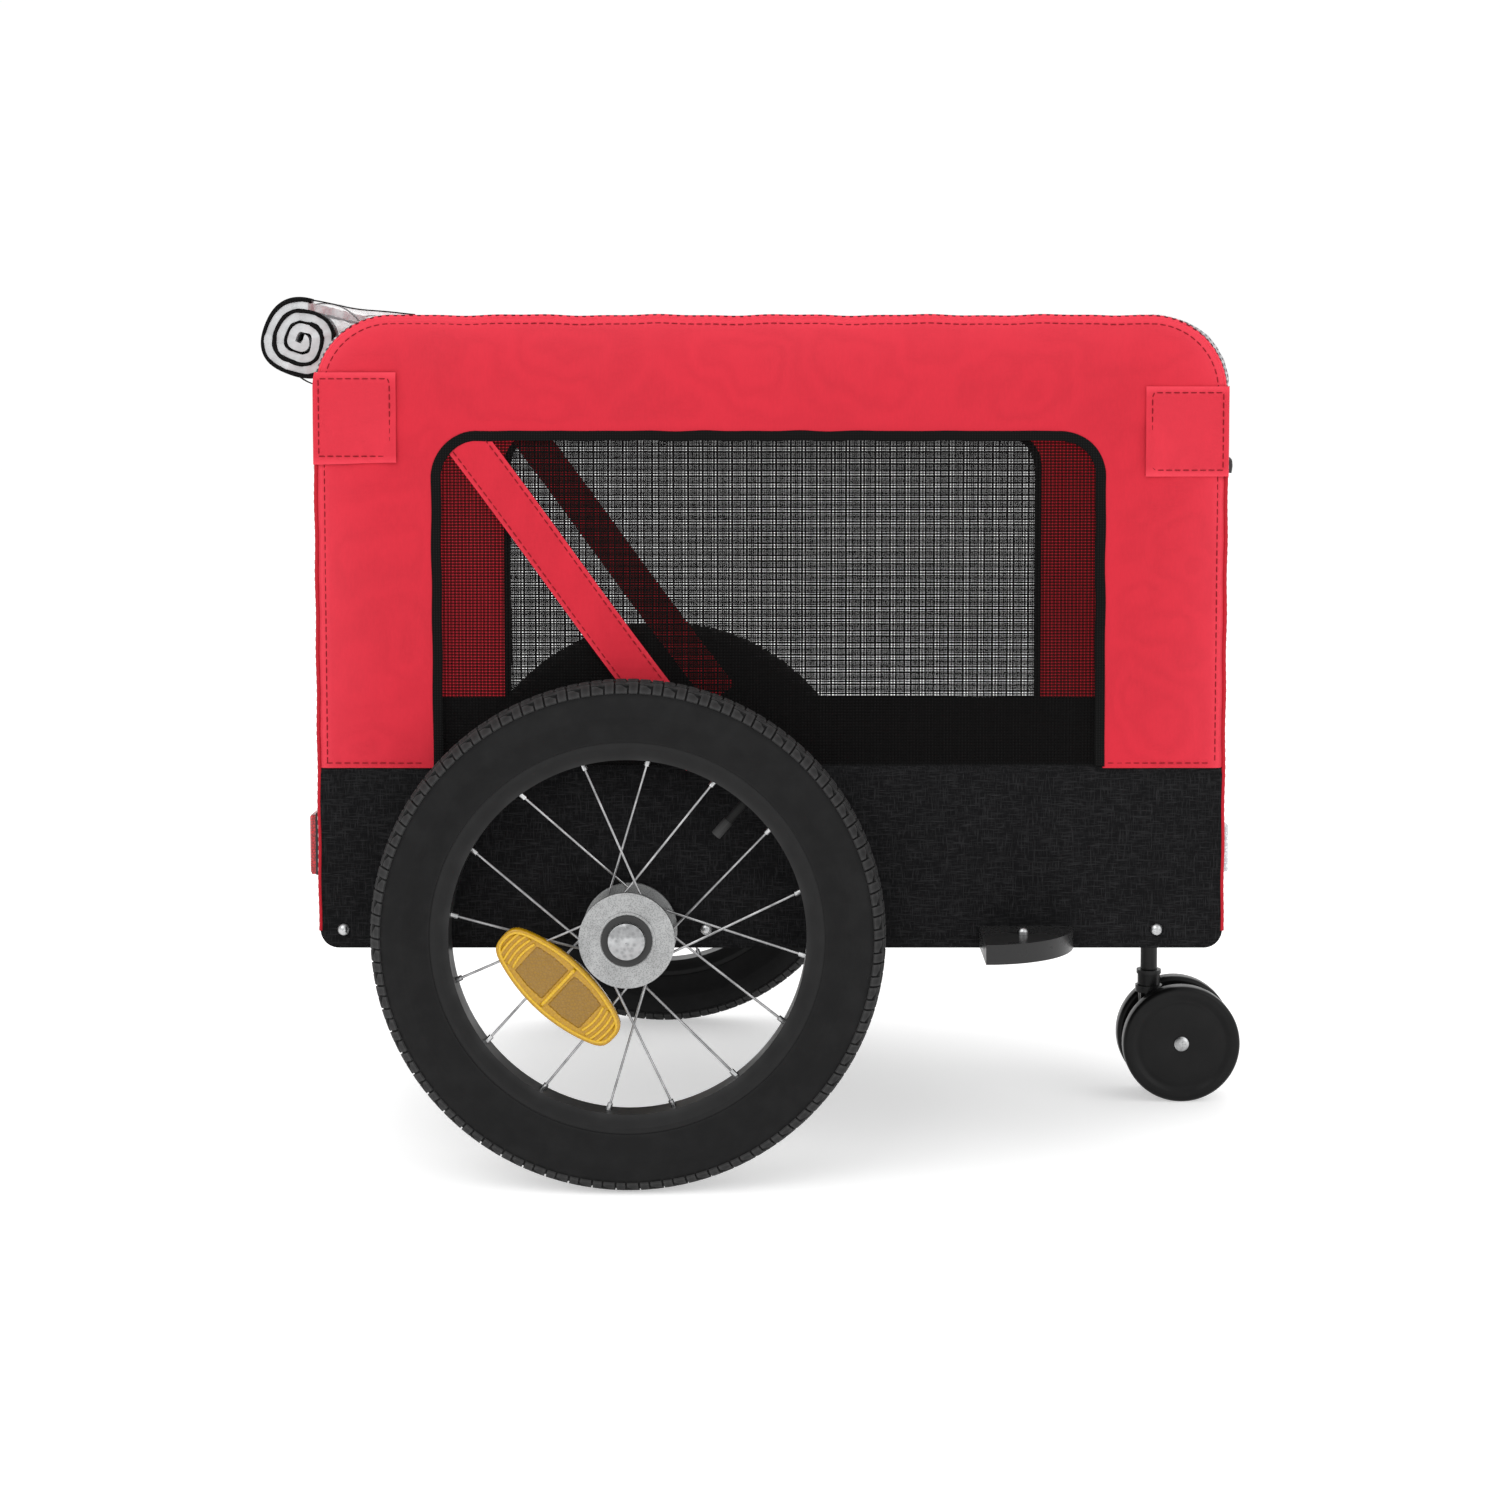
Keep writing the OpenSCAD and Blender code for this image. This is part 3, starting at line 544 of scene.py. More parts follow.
def metal(name, color, roughness, spangle, scale):
    """Bare or plated metal: crystals and blotches, and roughness that varies with them."""
    material = new_material(name, color, roughness, metallic=1.0)
    mottled = span(grain(material, 90, detail=5), 0.35, 0.65, 0, 1 - spangle)
    tone = both(span(cells(material, scale), 0.1, 0.6, 0, spangle), "ADD", mottled)
    feed(material, Base_Color=mix(tone, shade(color, 0.55), shade(color, 1.15)),
         Roughness=span(tone, 0, 1, roughness + 0.12, roughness - 0.04))
    bump(material, grain(material, 500), 0.03 * MM, 0.4)
    return material


def clear_plastic(name, color, alpha, roughness, cloudy, crease, along=0.5, fold_width=0.05, dark=0.55):
    """See-through film: cloudy folds, and creases that catch the light."""
    material = new_material(name, color, roughness, specular=0.6)
    wrinkle = grain(material, crease, (1, along, 1.3), detail=5, rough=0.6)
    fold = span(both(both(wrinkle, "SUBTRACT", 0.5), "ABSOLUTE", 0.0), 0.0, fold_width, 1.0, 0.0)
    feed(material, Alpha=span(fold, 0, 1, alpha, min(1, alpha + cloudy)),
         Base_Color=mix(fold, color, shade(color, dark)))
    bump(material, wrinkle, 2.0 * MM, 0.5)
    return material


def lens(name, color, deep, alpha):
    """Moulded reflector plastic with a fine honeycomb of prisms under its surface."""
    material = new_material(name, color, 0.22, specular=0.6)
    edge = span(cells(material, 420, "DISTANCE_TO_EDGE"), 0.02, 0.18)
    feed(material, Base_Color=mix(edge, deep, color), Alpha=alpha,
         Roughness=span(grain(material, 40), 0.3, 0.7, 0.14, 0.3))
    bump(material, edge, 0.2 * MM, 0.5)
    return material


RED = (0.52, 0.019, 0.035)
# The colour of the painted highlight along the cloth's sewn edges.
RED_EDGE_HIGHLIGHT = (0.72, 0.052, 0.080)
THREAD_RED = (0.20, 0.006, 0.011)
THREAD_DARK = (0.10, 0.006, 0.010)
WELT_RED = (0.42, 0.012, 0.022)
red_cloth = red_fabric("red_cloth", RED, RED_EDGE_HIGHLIGHT)
# The inner face of the cloth glows with painted light.
red_lining = red_fabric("red_lining", RED, RED_EDGE_HIGHLIGHT, glow=(0.24, 0.005, 0.010))
red_thread = red_fabric("red_thread", THREAD_RED, THREAD_RED)
dark_thread = red_fabric("dark_thread", THREAD_DARK, THREAD_DARK)
piping_red = red_fabric("piping_red", WELT_RED, WELT_RED)
black_cloth = linen("black_cloth", (0.0052, 0.0052, 0.0056), (0.024, 0.024, 0.025))
binding_tape = ribbed("binding_tape", (0.0035, 0.0035, 0.0035), (0.012, 0.012, 0.012), 2.0 * MM)
net_thread = ribbed("net_thread", (0.0045, 0.0045, 0.0045), (0.012, 0.012, 0.012), 2.4 * MM)
black_thread = ribbed("black_thread", (0.005, 0.005, 0.005), (0.020, 0.020, 0.020), 1.0 * MM)
grey_thread = ribbed("grey_thread", (0.10, 0.10, 0.11), (0.30, 0.30, 0.32), 1.0 * MM)
white_thread = ribbed("white_thread", (0.45, 0.30, 0.30), (0.80, 0.72, 0.72), 1.0 * MM)
film = clear_plastic("film", (0.80, 0.82, 0.84), 0.10, 0.12, 0.10, 14)
rolled_film = clear_plastic("rolled_film", (0.64, 0.65, 0.66), 0.80, 0.24, 0.12, 34, 0.10, 0.20, 0.70)
tyre_rubber = moulded("tyre_rubber", (0.0090, 0.0090, 0.0092), 0.7, specular=0.10, speck=0.15, edge_wear_and_light=0.01)
# The tread blocks are the tyre rubber painted lighter than the casing, so the grooves between them read as
# painted shade.
tread_rubber = moulded("tread_rubber", (0.014, 0.014, 0.0142), 0.75, specular=0.14, edge_wear_and_light=0.03)
rim_paint = moulded("rim_paint", (0.0070, 0.0070, 0.0072), 0.36, specular=0.13, speck=0.1, edge_wear_and_light=0.02)
soft_black = moulded("soft_black", (0.0060, 0.0060, 0.0060), 0.6, specular=0.12)
gloss_black = moulded("gloss_black", (0.004, 0.004, 0.0042), 0.26, specular=0.22, speck=0.1, edge_wear_and_light=0.02)
castor_black = moulded("castor_black", (0.0035, 0.0035, 0.0036), 0.3, specular=0.17, speck=0.1, edge_wear_and_light=0.015)
frame_black = moulded("frame_black", (0.012, 0.012, 0.013), 0.38, specular=0.45, speck=0.25, edge_wear_and_light=0.08)
board = moulded("board", (0.014, 0.014, 0.014), 0.55, specular=0.2, speck=0.6)
hoop_steel = metal("hoop_steel", (0.42, 0.43, 0.44), 0.36, 0.3, 220)
zinc = metal("zinc", (0.34, 0.345, 0.345), 0.45, 0.7, 900)
spoke_steel = metal("spoke_steel", (0.36, 0.36, 0.365), 0.28, 0.2, 500)
bright_steel = metal("bright_steel", (0.50, 0.505, 0.51), 0.26, 0.3, 500)
chrome = metal("chrome", (0.38, 0.385, 0.39), 0.14, 0.5, 260)
amber = lens("amber", (0.46, 0.255, 0.003), (0.40, 0.21, 0.003), 0.97)
# Lighter and darker copies of the amber plastic: the first gives the ribs a painted highlight, the second
# gives the prism fields painted shade.
amber_rib_highlight = lens("amber_rib_highlight", (0.62, 0.38, 0.008), (0.54, 0.31, 0.006), 1.0)
amber_prism_shade = lens("amber_prism_shade", (0.25, 0.130, 0.004), (0.21, 0.105, 0.004), 1.0)
ruby = lens("ruby", (0.45, 0.008, 0.012), (0.14, 0.002, 0.004), 0.95)
crystal = lens("crystal", (0.82, 0.84, 0.86), (0.45, 0.47, 0.50), 0.9)

# The CAD nodes that stay, by material. A name that ends in * has one on each side.
CAD_MATERIALS = {
    frame_black: ["base_rail_*", "cross_tubes", "axle_receivers", "castor_bracket"],
    hoop_steel: ["hoop_*", "spreader_bars"],
    bright_steel: ["frame_bolts", "hitch_pin", "wheel_axles", "castor_axle_bolt", "nipples_*", "bearings_*"],
    spoke_steel: ["spokes_*"],
    zinc: ["hub_*"],
    chrome: ["release_button_*"],
    gloss_black: ["hitch_lug"],
    soft_black: ["spreader_clips", "dust_cap_*", "valve_*", "inner_tube_*", "reflector_housings"],
    castor_black: ["castor_stem", "castor_fork"],
    rim_paint: ["rim_*"],
    board: ["floor_board"],
}
for paint, names in CAD_MATERIALS.items():
    for name in sorted({name.replace("*", side_name) for name in names for side_name in SIDES}):
        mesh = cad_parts[name].data
        mesh.materials.clear()
        mesh.materials.append(paint)


# ---------- cabin cloth ----------

EDGE_STEPS = (0, 0.012, 0.03, 0.055, 0.085, 0.12, 0.18, 0.27, 0.37, 0.47, 0.57, 0.67, 0.77, 0.87, 0.95, 1)
stitch_rows = {"red": [], "silhouette": [], "black": [], "lip": [], "welt": []}


def edge_wave(x):
    """How far the roof's edge rises and falls where it is sewn to the side."""
    inner = fade(HALF_L - CORNER_R - np.abs(x), 0, 40 * MM)
    return inner * (0.5 * MM * np.sin(2 * math.pi * x / (104 * MM) + 0.7)
                    + 0.25 * MM * np.sin(2 * math.pi * x / (43 * MM) + 2))


def side_cloth(side_name, side):
    """The red arch round the window: its sewn edge rolls inwards, and the cloth puckers along it."""
    outer = arch(-HALF_L, HALF_L, SEAM, TOP, CORNER_R)
    inner = arch(WINDOW_LOW.x, WINDOW_HIGH.x, SEAM, WINDOW_HIGH.z, WINDOW_R)
    points = loft(outer, inner, EDGE_STEPS)
    x, z = points[..., 0], points[..., 1]
    inset = apart(points, 0)
    roll = TUCK * np.clip(1 - inset / EDGE_BAND, 0, 1) ** 2
    along = distances(outer)[:, None]
    pucker = 0.22 * MM * np.sin(2 * math.pi * along / (6.5 * MM)) * np.exp(-inset / (7 * MM))
    middle = fade(inset, 0, 30 * MM) * fade(apart(points, -1), 0, 20 * MM)
    swell = middle * (1.1 * MM * waves(x, z, 130 * MM, 3 + side) + 0.35 * MM * waves(x, z, 38 * MM, 9))
    y = side * (HALF_W - CLOTH / 2 - roll + swell) + pucker
    points[..., 1] += edge_wave(x) * (1 - fade(inset, 0, 60 * MM)) * fade(z, SHOULDER, TOP)
    # The sewn edges get a painted highlight.
    cloth = sheet("side_cloth_" + side_name, on_side(points, y), red_cloth,
                  edge=edge_wear_and_light(inset, 0.4), lining=red_lining)
    soft(cloth, "red_cloth", "side_panel_" + side_name)


def side_stitching(side):
    """One row on the very edge of a side, one just inside it, and the hems under the window's ends."""
    out = (0, side, 0)
    for row_name, inset in (("silhouette", 0.3 * MM), ("red", 6.8 * MM)):
        outline = arch(-HALF_L + inset, HALF_L - inset, SEAM + 4 * MM, TOP - inset, CORNER_R - inset)
        tuck = TUCK * max(0, 1 - inset / EDGE_BAND) ** 2
        path = on_side(outline, side * (HALF_W - tuck + 0.1 * MM))
        path[:, 2] += edge_wave(path[:, 0]) * fade(path[:, 2], SHOULDER, TOP)
        stitch_rows[row_name].append((path, out))
    for start, stop in ((-HALF_L + 6 * MM, WINDOW_LOW.x - 4 * MM), (WINDOW_HIGH.x + 4 * MM, HALF_L - 6 * MM)):
        hem = line((start, SEAM + 4 * MM), (stop, SEAM + 4 * MM), 20)
        stitch_rows["red"].append((on_side(hem, side * (HALF_W + 0.1 * MM)), out))


def roof_cloth():
    """The roof, sagging a little between the hoops and held up by the two spreaders."""
    profile = arch(-HALF_L, HALF_L, SHOULDER - 1 * MM, TOP, CORNER_R, leg=2, run=240)
    x, z = profile[:, :1], profile[:, 1:]
    across = np.linspace(-1, 1, 61)[None]
    y = np.sign(across) * np.abs(across) ** 0.8 * (INNER_W + 0.6 * MM)
    top = fade(z, SHOULDER + 40 * MM, TOP)
    spread = 1 - 0.7 * np.exp(-((np.abs(x) - SPREADER_X) / (60 * MM)) ** 2)
    sag = 6 * MM * np.clip(1 - (y / (0.95 * INNER_W)) ** 2, 0, 1) * spread * top
    edge = fade(np.abs(y), INNER_W - 40 * MM, INNER_W)
    ripple = top * (0.8 * MM * waves(x, y, 150 * MM, 21) + 0.3 * MM * waves(x, y, 45 * MM, 5)) * (1 - edge)
    roll = 2.2 * MM * top * fade(np.abs(y), INNER_W - 5 * MM, INNER_W) ** 2
    z = z - sag + ripple - CLOTH / 2 + edge_wave(x) * edge - roll
    x = x - np.sign(x) * (1 - top) * CLOTH / 2
    # The sewn edges get a painted highlight.
    cloth = sheet("roof_cloth", space(x, y, z), red_cloth,
                  edge=edge_wear_and_light(INNER_W - np.abs(y), 0.4), lining=red_lining)
    soft(cloth, "red_cloth", "roof_panel")


def end_cloth(end_name, end):
    """A red end wall round its doorway, bulging a little past the side's edge."""
    outer = ring(INNER_W + 0.4 * MM, BOTTOM + FOOT_R, SHOULDER, 2 * MM)
    points = loft(outer, ring(DOOR_Y, DOOR_LOW, DOOR_HIGH, DOOR_R), EDGE_STEPS)
    y, z = points[..., 0], points[..., 1]
    inset = apart(points, 0)
    middle = fade(inset, 0, 20 * MM) * fade(apart(points, -1), 0, 12 * MM)
    x = end * (HALF_L - CLOTH / 2 + 0.7 * MM * middle * waves(y, z, 120 * MM, 31 + end)
               + 0.5 * MM * fade(np.abs(y), INNER_W - 8 * MM, INNER_W))
    # The sewn edges get a painted highlight.
    cloth = sheet(end_name + "_cloth", on_end(points, x), red_cloth, wrap=True,
                  edge=edge_wear_and_light(inset, 0.3), lining=red_lining)
    soft(cloth, "red_cloth", end_name + "_panel")


def lower_cloth(side_name, side):
    """The black lower wall, tucked behind the red cloth and rounded at its lower corners."""
    top = SEAM + 3 * MM
    low = hanging_u(HALF_L, BOTTOM, BOTTOM + FOOT_R + 5 * MM, FOOT_R, run=150, bend=12, leg=3)[:-1]
    points = loft(low, np.stack([low[:, 0], np.full(len(low), top)], 1), np.linspace(0, 1, 34))
    x, z = points[..., 0], points[..., 1]
    middle = fade(np.minimum(np.minimum(HALF_L - np.abs(x), z - BOTTOM), top - z), 0, 25 * MM)
    y = side * (HALF_W - 1.2 * MM - 2.2 * MM * np.clip(1 - (z - BOTTOM) / (10 * MM), 0, 1) ** 2
                - TUCK * fade(z, SEAM - 3 * MM, SEAM + 1.5 * MM)
                + middle * (0.9 * MM * waves(x, z, 90 * MM, 41 + side) + 0.3 * MM * waves(x, z, 30 * MM, 44)))
    soft(sheet("lower_cloth_" + side_name, on_side(points, y), black_cloth), "black_cloth", "lower_panels")
    hem_x, hem_z = HALF_L - 12 * MM, BOTTOM + 9 * MM
    hem = line((-hem_x, hem_z), (hem_x, hem_z), 40)
    stitch_rows["black"].append((on_side(hem, side * (HALF_W - 0.4 * MM)), (0, side, 0)))


def belly_cloth():
    profile = hanging_u(HALF_L, BOTTOM, BOTTOM + FOOT_R, FOOT_R, run=120, leg=0)
    x, z = profile[:, :1], profile[:, 1:]
    y = np.linspace(-INNER_W, INNER_W, 50)[None]
    inner = fade(HALF_L - np.abs(x), FOOT_R, 60 * MM) * fade(INNER_W - np.abs(y), 0, 50 * MM)
    z = z + CLOTH / 2 + 1.2 * MM * inner * (0.4 + waves(x, y, 140 * MM, 51))
    soft(sheet("belly_cloth", space(x, y, z), black_cloth), "black_cloth", "belly_panel")


def corner_welt(end_name, end, side_name, side):
    """The sewn welt down a cabin corner, from the roof's shoulder to the foot."""
    z = np.linspace(BOTTOM + FOOT_R, SHOULDER, 160)
    wobble = 0.25 * MM * np.sin(2 * math.pi * z / (61 * MM) + side)
    path = space(end * (HALF_L + 0.2 * MM) + wobble, side * (HALF_W - 1.4 * MM), z)
    welt = sweep(f"welt_{end_name}_{side_name}", path, round_profile(1.5 * MM), (0, 1, 0), piping_red)
    place(welt, "chassis", "red_cloth")
    stitch_rows["welt"].append((path + [end * 1.4 * MM, 0, 0], (end, 0, 0)))


# ---------- nets, bindings, straps ----------

def corner_inset(distance, r):
    """How far a rounded corner cuts into a line that runs this far from the edge."""
    d = np.clip(distance, 0, r)
    return r - np.sqrt(np.clip(r * r - (r - d) ** 2, 0, None))


NET_U, NET_V = 2.9 * MM, 2.4 * MM
NET_HALF, NET_THICK = 0.63 * MM / 2, 0.22 * MM
NET_SECTION = ((-NET_HALF, 0), (0, NET_THICK), (NET_HALF, 0), (0, -NET_THICK))
NET_STATIONS = 25


def strands(start, stop, pitch):
    """Where a net's strands lie one way: a pair for each pitch."""
    middle = np.arange(start + pitch / 2, stop - pitch / 2, pitch)
    return np.sort(np.r_[middle - pitch / 6, middle + pitch / 6])[:, None]


def net(name, span_of, r_top, r_low, stand, level, bulge, seed):
    """A knitted net: pairs of flat strands both ways, on one gently rippled surface.

    span_of is (u0, u1, v0, v1) in the plane, and stand turns (points, level) into a place."""
    u0, u1, v0, v1 = span_of
    t = np.linspace(0, 1, NET_STATIONS)[None]
    u, v = strands(u0, u1, NET_U), strands(v0, v1, NET_V)
    edge = np.minimum(u - u0, u1 - u)
    low, high = v0 + corner_inset(edge, r_low), v1 - corner_inset(edge, r_top)
    inset = corner_inset(v1 - v, r_top) + corner_inset(v - v0, r_low)
    verts, faces, first = [], [], 0
    upright = (u, low + (high - low) * t, np.array([1, 0]))
    lying = (u0 + inset + (u1 - u0 - 2 * inset) * t, v, np.array([0, 1]))
    for uu, vv, across in (upright, lying):
        stray = 0.07 * MM * waves(uu, vv, 90 * MM, seed)
        vv = vv + 0.06 * MM * waves(uu, vv, 110 * MM, seed + 1)
        uu = uu + stray
        rim = fade(np.minimum(np.minimum(uu - u0, u1 - uu), np.minimum(vv - v0, v1 - vv)), 0, 40 * MM)
        depth = level + rim * bulge * waves(uu, vv, 170 * MM, seed + 2) + 0.08 * MM * (across[0] - across[1])
        middle = np.stack([uu, vv], -1)
        block = np.stack([stand(middle + sideways * across, depth + out) for sideways, out in NET_SECTION], 2)
        faces += tube_faces(NET_STATIONS, len(NET_SECTION), len(block), first)
        verts.append(block.reshape(-1, 3))
        first += len(verts[-1])
    return add_mesh(name, np.vstack(verts), faces, net_thread)


def window_net(side_name, side):
    x0, x1, z0, z1 = WINDOW_LOW.x + 1 * MM, WINDOW_HIGH.x - 1 * MM, SEAM - 2 * MM, WINDOW_HIGH.z - 1 * MM
    piece = net("window_net_" + side_name, (x0, x1, z0, z1), WINDOW_R, 1 * MM,
                on_side, side * (HALF_W - 2.6 * MM), 1.6 * MM, 60 + side)
    soft(piece, "mesh_cloth", "window_meshes")


def door_net():
    span_of = (-DOOR_Y + 1 * MM, DOOR_Y - 1 * MM, DOOR_LOW + 1 * MM, DOOR_HIGH - 1 * MM)
    piece = net("door_net", span_of, DOOR_R, DOOR_R, on_end, HALF_L - 1.9 * MM, 0.6 * MM, 70)
    soft(piece, "mesh_cloth", "window_meshes")


def tape(name, path, width, thick, up, *nodes, body="chassis", material=binding_tape, **more):
    """A flat tape along a path, with up as the way its face looks."""
    piece = sweep(name, path, tape_profile(width, thick), up, material, **more)
    return place(piece, body, "black_binding", *nodes)


def rib_heights(points, pitch, depth):
    return 1 + depth * np.sin(2 * math.pi * distances(points) / pitch)


def window_binding(side_name, side):
    """Ribbed tape over the window's raw edge, not quite straight."""
    inset = BINDING / 2 - 1 * MM
    outline = spaced(arch(WINDOW_LOW.x + inset, WINDOW_HIGH.x - inset, SEAM + 1 * MM,
                          WINDOW_HIGH.z - inset, WINDOW_R - inset), 0.7 * MM)
    outline = outline + 0.35 * MM * waves(outline[:, :1], outline[:, 1:], 45 * MM, 80 + side)
    path = on_side(outline, side * (HALF_W + 0.15 * MM))
    tape("window_binding_" + side_name, path, BINDING, 1.6 * MM, (0, side, 0), "window_bindings",
         ribs=rib_heights(path, 2.1 * MM, 0.16))


def door_binding(end_name, x):
    inset = BINDING / 2 - 1 * MM
    path = on_end(ring(DOOR_Y - inset, DOOR_LOW + inset, DOOR_HIGH - inset, DOOR_R - inset, 170, 24, 150), x)
    tape(end_name + "_door_binding", path, BINDING, 1.4 * MM, (math.copysign(1, x), 0, 0), closed=True,
         ribs=rib_heights(path, 4.2 * MM, 0.1))


def window_strap(side_name, side):
    """The webbing that crosses the window from its upper rear corner, slightly slack."""
    head = np.array([WINDOW_LOW.x + 4 * MM, WINDOW_HIGH.z - 5 * MM])
    run = np.array([STRAP_RUN, SEAM - head[1]])
    length = float(np.hypot(*run))
    run /= length
    across = np.array([-run[1], run[0]])

    def at(t, w):
        """A place [x, z] at t down the strap and w across it."""
        bow = 0.7 * MM * np.sin(t / (52 * MM) + 0.4)
        return head + t[..., None] * run + (w + bow)[..., None] * across

    def slack(t):
        return 0.8 * MM * np.sin(np.clip(t / length, 0, 1) * math.pi)

    t, w = np.linspace(-6 * MM, length + 6 * MM, 120)[:, None], np.linspace(0, STRAP_W, 13)[None]
    flat = at(t, w)
    flat[..., 1] = np.clip(flat[..., 1], SEAM - 2 * MM, WINDOW_HIGH.z - 2 * MM)
    flat[..., 0] = np.maximum(flat[..., 0], WINDOW_LOW.x + 1 * MM)
    corner, reach = np.array([WINDOW_LOW.x + WINDOW_R, WINDOW_HIGH.z - WINDOW_R]), WINDOW_R - 2 * MM
    off = flat - corner
    far = np.linalg.norm(off, axis=-1)
    outside = (off[..., 0] < 0) & (off[..., 1] > 0) & (far > reach)
    flat = np.where(outside[..., None], corner + off * (reach / np.maximum(far, MM))[..., None], flat)
    y = side * (HALF_W - 0.6 * MM + slack(t) + 0.25 * MM * waves(t, w, 40 * MM, 88))
    # A painted highlight along both long edges of the strap.
    near = np.clip(1 - np.minimum(w, STRAP_W - w) / (5 * MM), 0, 1)
    strap = sheet("window_strap_" + side_name, on_side(flat, y), red_cloth, 1.2 * MM, edge=0.25 * near,
                  lining=red_lining)
    soft(strap, "red_cloth", "window_straps")
    s = np.linspace(16 * MM, length, 60)
    for w_at in (3.5 * MM, STRAP_W - 3.5 * MM):
        row = on_side(at(s, w_at), side * (HALF_W + slack(s) + 0.25 * MM))
        stitch_rows["red"].append((row, (0, side, 0)))


def corner_tab(end_name, end, side_name, side):
    """A stitched patch on the side that folds round the cabin's upright corner; the rear ones slant."""
    low, slant = (TAB_LOW, 0) if end > 0 else (TAB_LOW + REAR_TAB_RISE, 1)
    bend_r, fold_y, start = 3 * MM, HALF_W + 0.9 * MM, HALF_L - TAB_W
    flat_x = np.linspace(0, TAB_W, 34)
    flat_x = flat_x[flat_x < TAB_W - bend_r]
    turn = np.linspace(0, math.pi / 2, 9)[1:]
    x = np.r_[start + flat_x, HALF_L - bend_r + TAB_STAND + bend_r * np.sin(turn),
              np.full(12, HALF_L + TAB_STAND)]
    y = np.r_[np.full(len(flat_x), fold_y), fold_y - bend_r * (1 - np.cos(turn)),
              fold_y - bend_r - np.linspace(0, TAB_REACH, 12)]
    x, y, z = x[:, None], y[:, None], np.linspace(0, TAB_H, 26)[None]
    free = 1 - fade(x, start, start + 22 * MM)
    flutter = 1.1 * MM * free * (0.5 + 0.5 * np.sin(z / TAB_H * 5 + slant))
    y = y + flutter + 0.2 * MM * waves(x, z, 25 * MM, 90)
    z = low + z - slant * 1.6 * MM * fade(x, start, HALF_L) * (1 - z / TAB_H)
    over = np.clip(z - SHOULDER, 0, None)
    limit = HALF_L - CORNER_R + np.sqrt(np.clip(CORNER_R ** 2 - over ** 2, 0, None)) + TAB_STAND
    # The patch is painted a little lighter all over, with a painted highlight along its upper and lower
    # edges.
    edge = np.clip(1 - np.minimum(z - z.min(), z.max() - z) / (7 * MM), 0, 1)
    points = space(end * np.minimum(x, limit), side * y, z)
    patch = sheet(f"{end_name}_tab_{side_name}", points, red_cloth, 1.3 * MM, edge=0.25 + 0.6 * edge)
    soft(patch, "red_cloth", "corner_tabs")
    inset = 5 * MM
    x0, x1, z0, z1 = start + inset, HALF_L - 3 * MM, low + inset, low + TAB_H - inset
    box = np.array([(x1, z0), (x0, z0), (x0, z1), (x1, z1), (x1, z0)]) * [end, 1]
    stitch_rows["red"].append((on_side(box, side * (HALF_W + 1.9 * MM)), (0, side, 0)))


# ---------- clear covers ----------

def seam_lip(end_name, end, side_name, side):
    """The edge of clear film that stands proud of the roof's corner, sewn in with the side."""
    a = np.radians(np.linspace(2, 92, 60))
    centre = (HALF_L - CORNER_R, SHOULDER)
    widest = 2.6 * MM if end > 0 else 1.2 * MM
    reach = 0.3 * MM + widest * fade(np.degrees(a), 0, 10) * (1 - fade(np.degrees(a), 40, 78))
    outer = polar(centre, CORNER_R + reach + 0.25 * MM * waves(a, 0, 0.2, 95 + end), a)
    points = loft(outer, polar(centre, CORNER_R - 2 * MM, a), (0, 0.3, 0.6, 1)) * [end, 1]
    lip = sheet(f"seam_lip_{end_name}_{side_name}", on_side(points, side * (HALF_W - 4.2 * MM)),
                rolled_film, 0.9 * MM)
    place(lip, "chassis", "clear_film")
    for share in (0.25, 0.75):
        row = polar(centre, CORNER_R + reach * share, a) * [end, 1]
        stitch_rows["lip"].append((on_side(row, side * (HALF_W - 3.7 * MM)), (0, side, 0)))


def roll_radius(a):
    """Radius of the roll's spiral at an angle counted back from its outer end, slightly square."""
    square = 1 + 0.035 * np.cos(4 * (a - 0.62)) + 0.018 * np.cos(3 * a + 0.9)
    return (ROLL_R - 1.6 * MM - ROLL_PITCH * a / (2 * math.pi)) * square


def roll_path(offset=0.0, start=0.0, stop=ROLL_TURNS, n=360):
    """The spiral as [x, z] between two counts of turns, from the top of the roll inwards."""
    a = np.linspace(start, stop, n) * 2 * math.pi
    return polar(ROLL_C, roll_radius(a) + offset, ROLL_START + a)


def outward(points):
    """The way from the roll's middle to each [x, z] point."""
    out = points - ROLL_C
    return out / np.linalg.norm(out, axis=-1)[..., None]


def rolled_cover():
    """The clear rear cover, rolled up, with its taped side edges showing as a spiral."""
    half = ROLL_HIGH.y
    path = roll_path(-ROLL_PITCH / 2)
    across = np.r_[-half, np.linspace(-half + 6 * MM, half - 6 * MM, 56), half][None]
    crumple = 0.5 * MM * waves(path[:, :1] * 3, across, 35 * MM, 101)
    flat = path[:, None] + outward(path)[:, None] * crumple[..., None]
    ends = np.sign(across) * (np.abs(across) > half - 8 * MM)
    y = across + ends * 0.6 * MM * waves(flat[..., 0], flat[..., 1], 9 * MM, 103)
    roll = sheet("rolled_film", on_side(flat, y), rolled_film, ROLL_PITCH - 2.4 * MM)
    soft(roll, "clear_film", "rolled_cover")
    swell = 1 + 0.25 * waves(np.arange(260), 0, 70, 107)
    parts = (("edge", 0.0, TAPE_TURNS[0], 3.3 * MM), ("core", *TAPE_TURNS, 0.8 * MM))
    for name, side in SIDES.items():
        for part, start, stop, thick in parts:
            spiral = roll_path(0, start, stop, 260)
            tape(f"roll_{part}_tape_{name}", on_side(spiral, side * (half - 9 * MM)), 21 * MM, thick,
                 on_side(outward(spiral), 0), "rolled_cover", ribs=swell)


